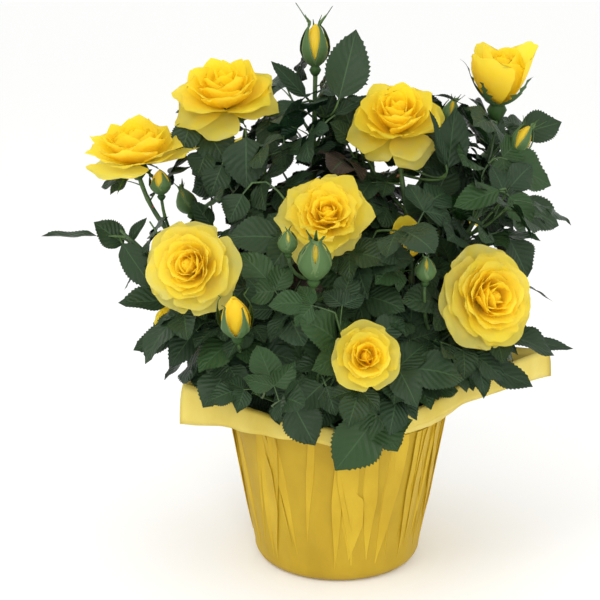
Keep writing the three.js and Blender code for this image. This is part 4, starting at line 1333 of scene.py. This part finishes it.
stems = []
for shoot in shoots.values():
    start = shoot["leafFrom"] or stem["from"]
    neck = stem["neck"] if shoot["flower"] != "none" else stem["tipRadius"] * 0.6
    radii = np.linspace(stem["rootRadius"], stem["tipRadius"], 30)
    radii[-3:] = np.linspace(stem["tipRadius"], neck, 3)
    stems.append((stretch(shoot["line"], start, 1, 30), swollen(radii, 5, 0.12)))
for bud in buds:
    stems.append((stretch(bud["line"], 0, 1, 16), swollen(np.linspace(*stem["budRadii"], 16), 6, 0.1)))
for twig in twigs:
    stems.append((stretch(twig["line"], 0, 1, 10), np.linspace(*twigRule["radii"], 10)))
makeLimbs("rose_stems", stems, 2, stemFinish, massNodes, 0.22, 9)
makeLimbs("leaf_stalks", stalks, 0, stemFinish, massNodes, 0.08, 12)
print("leaves and stems made")


# Thorns: small hooks that point a little down

thorn = {"length": 3.4, "width": 1.5, "perCane": 7, "perBough": 4, "perStem": 3}


def makeThorns():
    bm = bmesh.new()
    bmesh.ops.create_cone(bm, cap_ends=True, segments=6, radius1=0.5, radius2=0.03, depth=1)
    bmesh.ops.subdivide_edges(bm, edges=longEdges(bm), cuts=2)
    for vert in bm.verts:
        height = vert.co.z + 0.5
        vert.co.y = vert.co.y * 1.7 * (1 - 0.4 * height) - 0.5 * height**2
    template = templateOf(bm)
    heap = newHeap()
    limbs = [(*limb, thorn["perCane"]) for limb in caneLimbs]
    limbs += [(*limb, thorn["perBough"]) for limb in boughLimbs]
    limbs += [(*limb, thorn["perStem"]) for limb in stems[: len(shoots)]]
    for index, (line, radii, count) in enumerate(limbs):
        for i in range(count):
            node = between(0.1, 0.85, index, i, 51)
            root, tangent, out = besideLine(line, node, 360 * chance(index, i, 52))
            radius = radii[int(node * (len(radii) - 1))]
            size = between(0.6, 1.1, index, i, 53)
            width, length = thorn["width"] * size, thorn["length"] * size
            spot = root + out * (radius + length * 0.35)
            across = np.cross(tangent, out) * width
            pile(heap, placed(template["points"], spot, across, tangent * width, out * length), template)
    return heap


makePiece("thorns", makeThorns(), [thornFinish])


# Flowers

sheetSizes = {"petal": (10, 9), "sepal": (6, 16)}  # columns and rows of faces
# how wide a sheet is beside its full width, from its foot to its tip
petalWidths = ([0, 0.1, 0.3, 0.55, 0.78, 0.9, 1], [0.2, 0.36, 0.72, 0.96, 1, 0.9, 0.66])
sepalWidths = ([0, 0.15, 0.35, 0.6, 0.85, 1], [0.8, 1, 0.6, 0.26, 0.13, 0.03])


def sheetGrid(columns, rows):
    bm = bmesh.new()
    bmesh.ops.create_grid(bm, x_segments=columns, y_segments=rows, size=1)
    template = templateOf(bm, flip=True)
    template["u"] = template["points"][:, 0]
    template["v"] = (template["points"][:, 1] + 1) / 2
    template["row"] = (template["middles"][:, 1] + 1) / 2
    template["column"] = np.abs(template["middles"][:, 0])
    return template


petalGrid = sheetGrid(*sheetSizes["petal"])
sepalGrid = sheetGrid(*sheetSizes["sepal"])


def petalSheet(
    grid, azimuth, length, width, lean, base=0, foot=0, bend=1, cup=10, roll=0, rim=0, point=0, notch=0,
    ruffle=0, phase=0, rounding=0.2, widths=petalWidths, lobes=0,
):
    # lean is the angle from the flower's axis at the petal's foot and at its tip. Summed up along the petal
    # it gives the middle line, and rim turns its last stretch back. cup is the radius that the petal wraps
    # round, and roll is how far its side edges turn back.
    u, v = grid["u"], grid["v"]
    share = np.linspace(0, 1.2, 31)
    angle = np.radians(mix(lean[0], lean[1], share**bend) + rim * smooth(0.72, 1.05, share))
    step = length * share[1]
    out = base + np.concatenate([[0], np.cumsum(np.sin(angle[1:]))]) * step
    rise = foot + np.concatenate([[0], np.cumsum(np.cos(angle[1:]))]) * step
    inside = 1 - np.abs(u)
    reach = v * (1 - rounding * u**2 * v**3) + (point * inside**2 - notch * inside**1.5) * v**5
    half = width / 2 * np.interp(v, *widths)
    if lobes:
        atLobe = (np.abs(u) > 0.9) & (np.sin(v * 34 + phase) > 0.45) & (v > 0.42) & (v < 0.9)
        half = half * (1 + lobes * atLobe)
    wrap = u * half / cup
    sideways = cup * np.sin(wrap)
    inward = cup * (1 - np.cos(wrap)) - roll * np.abs(u) ** 3 * v**2
    inward += ruffle * np.sin(u * 4.2 + phase) * v**3
    inward += ruffle * np.sin(u * 9 + 2 * phase) * v**6 / 2
    angleHere = np.interp(reach, share, angle)
    radius = np.interp(reach, share, out) - np.cos(angleHere) * inward
    height = np.interp(reach, share, rise) + np.sin(angleHere) * inward
    turn = math.radians(azimuth)
    return np.column_stack([
        radius * math.cos(turn) - sideways * math.sin(turn),
        radius * math.sin(turn) + sideways * math.cos(turn),
        height,
    ])


def flowerFrame(axis):
    aside = np.array([1.0, 0, 0]) if abs(axis[2]) > 0.9 else up
    first = unit(np.cross(axis, aside))
    return first, np.cross(axis, first), axis


plainStyle = {
    "wide": 0.96,  # beside the width in the table
    "tip": 0,  # how far its face is tipped up
    "petals": 34,
    "warm": 0.4,  # how warm its gold is
    "point": 0.06,  # how pointed its petals are
    "high": 1,
    "ruffle": 0.03,
    "back": 0,  # how far its outermost petals turn back
    "hang": (),  # the azimuths, in its own frame, of petals that hang down
    "turn": 0,
    "lobes": (5, 0.05, 0),  # its outline's lobes: how many, how strong and the azimuth of one
}
# how each open bloom differs from that
bloomStyles = {
    "upper_left": {"tip": 12, "warm": 1.3, "point": 0.1, "high": 1.12, "hang": (62,), "turn": 40},
    "far_left": {
        "wide": 0.95, "tip": 17, "warm": 1.5, "point": 0.14, "high": 0.9, "back": -24, "hang": (80,),
        "turn": 10,
    },
    "left_front": {"warm": -0.6, "point": 0, "high": 0.9, "petals": 36, "back": -6, "lobes": (2, 0.1, 0)},
    "centre": {
        "wide": 0.88, "warm": 0.1, "point": 0.1, "ruffle": 0.08, "hang": (30, 127), "turn": 70,
        "lobes": (4, 0.1, 250),
    },
    "upper_right": {"wide": 0.94, "tip": 6, "warm": 1.1, "high": 1.2, "back": 4, "hang": (41, 140)},
    "right_front": {
        "warm": -0.1, "point": 0, "ruffle": 0.04, "petals": 38, "back": -8, "lobes": (2, 0.06, 80),
    },
    "low_front": {
        "warm": 0.1, "point": 0, "high": 1.15, "petals": 25, "back": -22, "lobes": (3, 0.11, 180),
    },
    "back_top": {"wide": 0.86, "tip": 20},
    "back_left": {"wide": 0.84, "tip": 8},
    "back_right": {"wide": 0.88, "tip": 8},
}
# From the outermost petal to the heart: length, width and the radius that it wraps round, as shares of the
# bloom's radius, and how far it leans at its foot and at its rim.
bloomRule = {
    "turn": 137.5,  # from one petal to the next
    "at": (0, 0.14, 0.3, 0.45, 0.6, 0.75, 0.88, 1),
    "length": (1.0, 0.97, 0.93, 0.87, 0.82, 0.78, 0.74, 0.71),
    "width": (1.34, 1.28, 1.16, 1.04, 0.94, 0.84, 0.74, 0.6),
    "cup": (2.0, 1.4, 0.98, 0.68, 0.47, 0.34, 0.24, 0.17),
    "foot": (83, 74, 63, 52, 42, 32, 22, 13),
    "rim": (96, 78, 46, 24, 10, 0, -14, -34),
    # outer petals that hang down: how near to the style's azimuth, and how they differ
    "hanging": {"within": 26, "foot": 12, "rim": 34, "length": 0.92, "width": 0.78, "tone": 1.5},
    "lengths": (0.94, 1.05),  # how petals differ by chance
    "turnBack": (6, 34),
    "bend": (0.8, 1.3),  # at the heart and at the outermost petal
    "base": (0.02, 0.1),
    "tones": (1.4, 6.6),  # as places in the row of golds
    "roll": 0.07,
    # the heart itself is still a small bud
    "heart": {"from": 0.88, "size": 0.36, "foot": 0.2, "top": 1.34, "twist": 70, "sheets": 5, "tone": 1.8},
    "hip": 0.2,
    "sepals": (0.66, (100, 132)),  # their length and how far they lean
}

petalHeap, calyxHeap = newHeap(), newHeap()


def addPetal(axes, tip, points, tone):  # paler towards its rim and its sides
    pale = tone + (petalGrid["row"] - 0.6) * 1.5 + petalGrid["column"] * 0.5
    finish = np.clip(np.round(pale), 0, len(goldFinishes) - 1).astype(int)
    pile(petalHeap, placed(points, tip, *axes), petalGrid, finish)


def makeBloom(shoot):
    style = plainStyle | bloomStyles.get(shoot["name"], {})
    radius = shoot["size"] / 2 * style["wide"]
    level = unit(np.cross(shoot["facing"], up))
    axes = flowerFrame(turned(shoot["facing"], level, style["tip"]))
    tip = shoot["line"][-1]
    for i in range(style["petals"]):
        inner = i / (style["petals"] - 1)
        outer = 1 - inner
        if inner > bloomRule["heart"]["from"]:
            break
        keys = (shoot["index"] + 0.37, i)
        azimuth = style["turn"] + i * bloomRule["turn"] + between(-14, 14, *keys, 1)
        length, width, cup, foot, rim = (
            np.interp(inner, bloomRule["at"], bloomRule[part])
            for part in ("length", "width", "cup", "foot", "rim")
        )
        foot += between(-4, 4, *keys, 2)
        rim += between(-8, 8, *keys, 3) + style["back"] * outer**2
        tone = mix(*bloomRule["tones"], outer**1.2) - style["warm"] + between(-0.5, 0.5, *keys, 6)
        hanging = bloomRule["hanging"]
        hangs = inner < 0.2 and any(apart(azimuth, hang) < hanging["within"] for hang in style["hang"])
        if hangs:
            foot += hanging["foot"]
            rim += hanging["rim"]
            length *= hanging["length"]
            width *= hanging["width"]
            tone += hanging["tone"]
        lobes, strength, first = style["lobes"]
        length *= 1 + strength * outer * math.cos(lobes * math.radians(azimuth - first))
        points = petalSheet(
            petalGrid,
            azimuth,
            radius * length * between(*bloomRule["lengths"], *keys, 4),
            radius * width,
            (foot, rim),
            base=radius * mix(*bloomRule["base"], outer),
            bend=mix(*bloomRule["bend"], outer),
            cup=radius * cup,
            roll=radius * bloomRule["roll"] * outer,
            rim=between(*bloomRule["turnBack"], *keys, 7) * mix(0.4, 1, outer),
            point=style["point"] * (0 if hangs else 1 - 0.6 * inner),
            ruffle=radius * style["ruffle"] * (1 - 0.7 * inner),
            phase=math.tau * chance(*keys, 5),
        )
        points[:, 2] *= style["high"]
        addPetal(axes, tip, points, tone)
    heart = bloomRule["heart"]
    foot = tip + axes[2] * radius * heart["foot"]
    for i in range(heart["sheets"]):
        turn = style["turn"] + i * bloomRule["turn"]
        top = heart["top"] * (1 - 0.02 * i)
        points = onEgg(radius * heart["size"], petalGrid, turn, top, 0.8, 1 - 0.12 * i, 0, heart["twist"])
        addPetal(axes, foot, points, heart["tone"] - style["warm"] - 0.2 * i)
    sepalLength, lean = bloomRule["sepals"]
    makeCalyx(tip, axes, radius * bloomRule["hip"], radius * sepalLength, lean, shoot["index"])


def makeHip():
    bm = bmesh.new()
    bmesh.ops.create_uvsphere(bm, u_segments=10, v_segments=6, radius=1)
    for vert in bm.verts:
        vert.co.xy *= 1 - 0.45 * max(0, vert.co.z) - 0.3 * max(0, -vert.co.z)
    return templateOf(bm)


hip = makeHip()


def addHip(tip, axes, radius, height):  # the green swelling under a flower
    first, second, axis = axes
    middle = tip - axis * height / 2
    pile(calyxHeap, placed(hip["points"], middle, first * radius, second * radius, axis * height), hip)


def makeCalyx(tip, axes, hipRadius, sepalLength, lean, seed, bend=0.8, rim=0):
    addHip(tip, axes, hipRadius, hipRadius * 1.25)
    for i in range(5):
        points = petalSheet(
            sepalGrid,
            i * 72 + between(-9, 9, seed, i, 61),
            sepalLength * between(0.85, 1.15, seed, i, 62),
            sepalLength * 0.3,
            (lean[0] + between(-6, 6, seed, i, 63), lean[1] + between(-16, 16, seed, i, 64)),
            base=hipRadius * 0.5,
            foot=-hipRadius * 0.1,
            bend=bend,
            rim=rim,
            cup=max(hipRadius * 1.6, sepalLength * 0.28),
            rounding=0,
            widths=sepalWidths,
            lobes=1.3,
            phase=i * 2,
        )
        pile(calyxHeap, placed(points, tip, *axes), sepalGrid)


# Pairs are values at the heart and at the outermost petal. Lengths are shares of the cup's radius.
cupRule = {
    "petals": 15,
    "length": (1.75, 2.25),
    "width": (1.1, 2.3),
    "foot": (40, 76),
    "rim": (-26, 4),
    "turnBack": (0, 42),
    "wrap": (0.4, 1.1),
    "tone": (1.6, 4),
    "base": 0.1,
    "bend": 0.55,
    "roll": 0.05,
    "notch": 0.08,
    "ruffle": 0.04,
    "hip": 0.34,
    "sepals": (1.8, (86, 8)),  # their length and how far they lean
    "sepalBend": 0.5,
    "sepalTip": 54,  # how far their tips turn out
}


def makeCup(shoot):
    # half open: broad petals stand up round a closed heart, and their notched rims roll back
    radius = shoot["size"] / 2
    axes = flowerFrame(shoot["facing"])
    tip = shoot["line"][-1]
    for i in range(cupRule["petals"]):
        outer = 1 - i / (cupRule["petals"] - 1)

        def part(name, power=1):
            return mix(*cupRule[name], outer**power)

        keys = (shoot["index"] + 0.61, i)
        azimuth = i * bloomRule["turn"] + between(-10, 10, *keys, 1)
        # two lobes stand up at the sides, and the rim dips in front
        rising = 0.04 * math.cos(math.radians(azimuth)) - 0.16 * math.cos(2 * math.radians(azimuth))
        points = petalSheet(
            petalGrid,
            azimuth,
            radius * part("length", 1.5) * (1 + rising * outer),
            radius * part("width"),
            (part("foot"), part("rim", 1.4)),
            base=radius * cupRule["base"],
            bend=cupRule["bend"],
            cup=radius * part("wrap"),
            roll=radius * cupRule["roll"] * outer,
            rim=part("turnBack", 2),
            notch=cupRule["notch"] * outer,
            ruffle=radius * cupRule["ruffle"],
            phase=math.tau * chance(*keys, 5),
        )
        addPetal(axes, tip, points, part("tone") + between(-0.5, 0.5, *keys, 6))
    # its sepals lie against the cup, and their tips turn out
    sepalLength, lean = cupRule["sepals"]
    seed = shoot["index"] + 7
    makeCalyx(
        tip, axes, radius * cupRule["hip"], radius * sepalLength, lean, seed, cupRule["sepalBend"],
        cupRule["sepalTip"],
    )


# A bud is an egg of petals wrapped round each other. Its height and radius are shares of its width.
budRule = {
    "heights": (0, 0.1, 0.3, 0.55, 0.85, 1.1, 1.26, 1.34, 1.6, 2.1),
    "radii": (0.12, 0.26, 0.4, 0.46, 0.39, 0.25, 0.13, 0.015, 0.12, 0.3),
    "top": 1.34,
    "petals": 5,
    "halfWidth": 0.75,
    "swell": (0.97, 0.07),  # the outermost petal's, and how much less each next one has
    "twist": 50,
    "round": 0.84,  # a closed bud's height beside an open one's
    "tones": (5.2, 3.2),  # closed and open
    "hip": 0.2,
    "keel": 0.035,
    "lobes": 2.2,
    "sepalWide": (1.9, 0.85),  # closed and open
    "sepalTop": 2,
    "sepalWidths": ((0, 0.12, 0.3, 0.5, 0.62, 0.75, 1), (0.42, 0.5, 0.5, 0.32, 0.2, 0.12, 0.02)),
}


def onEgg(size, grid, azimuth, top, halfWidth, swell, spread=0, twist=0, keel=0):
    # a sheet that lies on the bud's egg, from its foot to a height, and leaves it by spread towards its tip
    u, v = grid["u"], grid["v"]
    height = v * top
    radius = np.interp(height, budRule["heights"], budRule["radii"]) * swell + spread * v**2
    radius = radius + keel * (1 - 2.4 * np.abs(u) + 1.6 * u**2)
    turn = np.radians(azimuth + twist * v) + u * np.minimum(halfWidth / np.maximum(radius, 0.05), 1.9)
    return np.column_stack([radius * np.cos(turn), radius * np.sin(turn), height]) * size


def makeBud(bud, seed):
    size, tip = bud["size"], bud["line"][-1]
    opened = bud.get("opened", 0.5)
    loose = min(opened * 2, 1)
    first, second, axis = flowerFrame(bud["facing"])
    axes = first, second, axis * mix(budRule["round"], 1, loose)
    swell, less = budRule["swell"]
    for i in range(budRule["petals"]):
        top = budRule["top"] * (1 - 0.03 * i + 0.04 * opened)
        spread = 0.05 * opened * (4 - i) / 4
        azimuth = i * bloomRule["turn"] + seed * 31
        points = onEgg(
            size, petalGrid, azimuth, top, budRule["halfWidth"], swell - less * i, spread, budRule["twist"]
        )
        addPetal(axes, tip, points, mix(*budRule["tones"], opened) - 0.5 * i)
    addHip(tip, axes, size * budRule["hip"], size * budRule["hip"] * 1.2)
    u, v = sepalGrid["u"], sepalGrid["v"]
    for i in range(5):
        keys = (seed + 30, i)
        top = budRule["sepalTop"] * bud.get("sepals", 0.94) * between(0.8, 1.1, *keys, 1)
        wide = np.interp(v, *budRule["sepalWidths"]) / 2 * mix(*budRule["sepalWide"], loose)
        # small lobes stand out where a sepal leaves the bud
        beyond = (v * top > budRule["top"]) & (v < 0.93)
        atLobe = (np.abs(u) > 0.9) & (np.sin(v * 40 + i * 2) > 0.2) & beyond
        azimuth = i * 72 + between(-8, 8, *keys, 2)
        spread = 0.5 * opened + between(-0.04, 0.2, *keys, 3)
        wide = wide * (1 + budRule["lobes"] * atLobe)
        points = onEgg(size, sepalGrid, azimuth, top, wide, 1.05, spread, keel=budRule["keel"])
        pile(calyxHeap, placed(points, tip, *axes), sepalGrid, sepalGrid["column"] > 0.8)


for shoot in shoots.values():
    if shoot["flower"] == "bloom":
        makeBloom(shoot)
    elif shoot["flower"] == "cup":
        makeCup(shoot)
    elif shoot["flower"] == "bud":
        makeBud(shoot, shoot["index"])
for bud in buds:
    makeBud(bud, bud["index"] + 40)

flowerNodes = [f"foliage_{shoot['name']}" for shoot in shoots.values() if shoot["flower"] != "none"]
makePiece("rose_petals", petalHeap, goldFinishes, flowerNodes)
makePiece("rose_calyces", calyxHeap, [calyxFinish, marginFinish], flowerNodes)
print("flowers made")


# Floor, light and air

studio = {
    "floor": "#FBFBFA",
    "air": "#FFFFFF",
    "airStrength": 1.02,
    "size": 80,
    # each lamp's name, its place and its width in metres, and its power in watts
    "lamps": (
        ("key", (-0.9, -1.1, 1.5), 0.7, 8),
        ("fill", (1.2, -0.8, 0.9), 1.2, 2),
        ("front", (0.1, -1.5, 0.7), 0.6, 7),
    ),
    "aim": (0, 0, 0.2),
}

bm = bmesh.new()
bmesh.ops.create_grid(bm, x_segments=2, y_segments=2, size=studio["size"])
floorMesh = bpy.data.meshes.new("floor")
bm.to_mesh(floorMesh)
bm.free()
floor = bpy.data.objects.new("floor", floorMesh)
floorFinish, surface = newFinish("floor_matt_paint", Roughness=0.9)
surface.inputs["Base Color"].default_value = linear(studio["floor"])
floorMesh.materials.append(floorFinish)
bpy.context.scene.collection.objects.link(floor)

world = bpy.data.worlds.new("studio")
world.use_nodes = True
world.node_tree.nodes["Background"].inputs["Color"].default_value = linear(studio["air"])
world.node_tree.nodes["Background"].inputs["Strength"].default_value = studio["airStrength"]
bpy.context.scene.world = world

for name, place, size, power in studio["lamps"]:
    lamp = bpy.data.lights.new(name, "AREA")
    lamp.size = size
    lamp.energy = power
    holder = bpy.data.objects.new(name, lamp)
    holder.location = place
    toPlant = Vector(studio["aim"]) - Vector(place)
    holder.rotation_euler = toPlant.to_track_quat("-Z", "Y").to_euler()
    bpy.context.scene.collection.objects.link(holder)

bpy.context.scene.view_settings.view_transform = "Standard"
print("studio made")
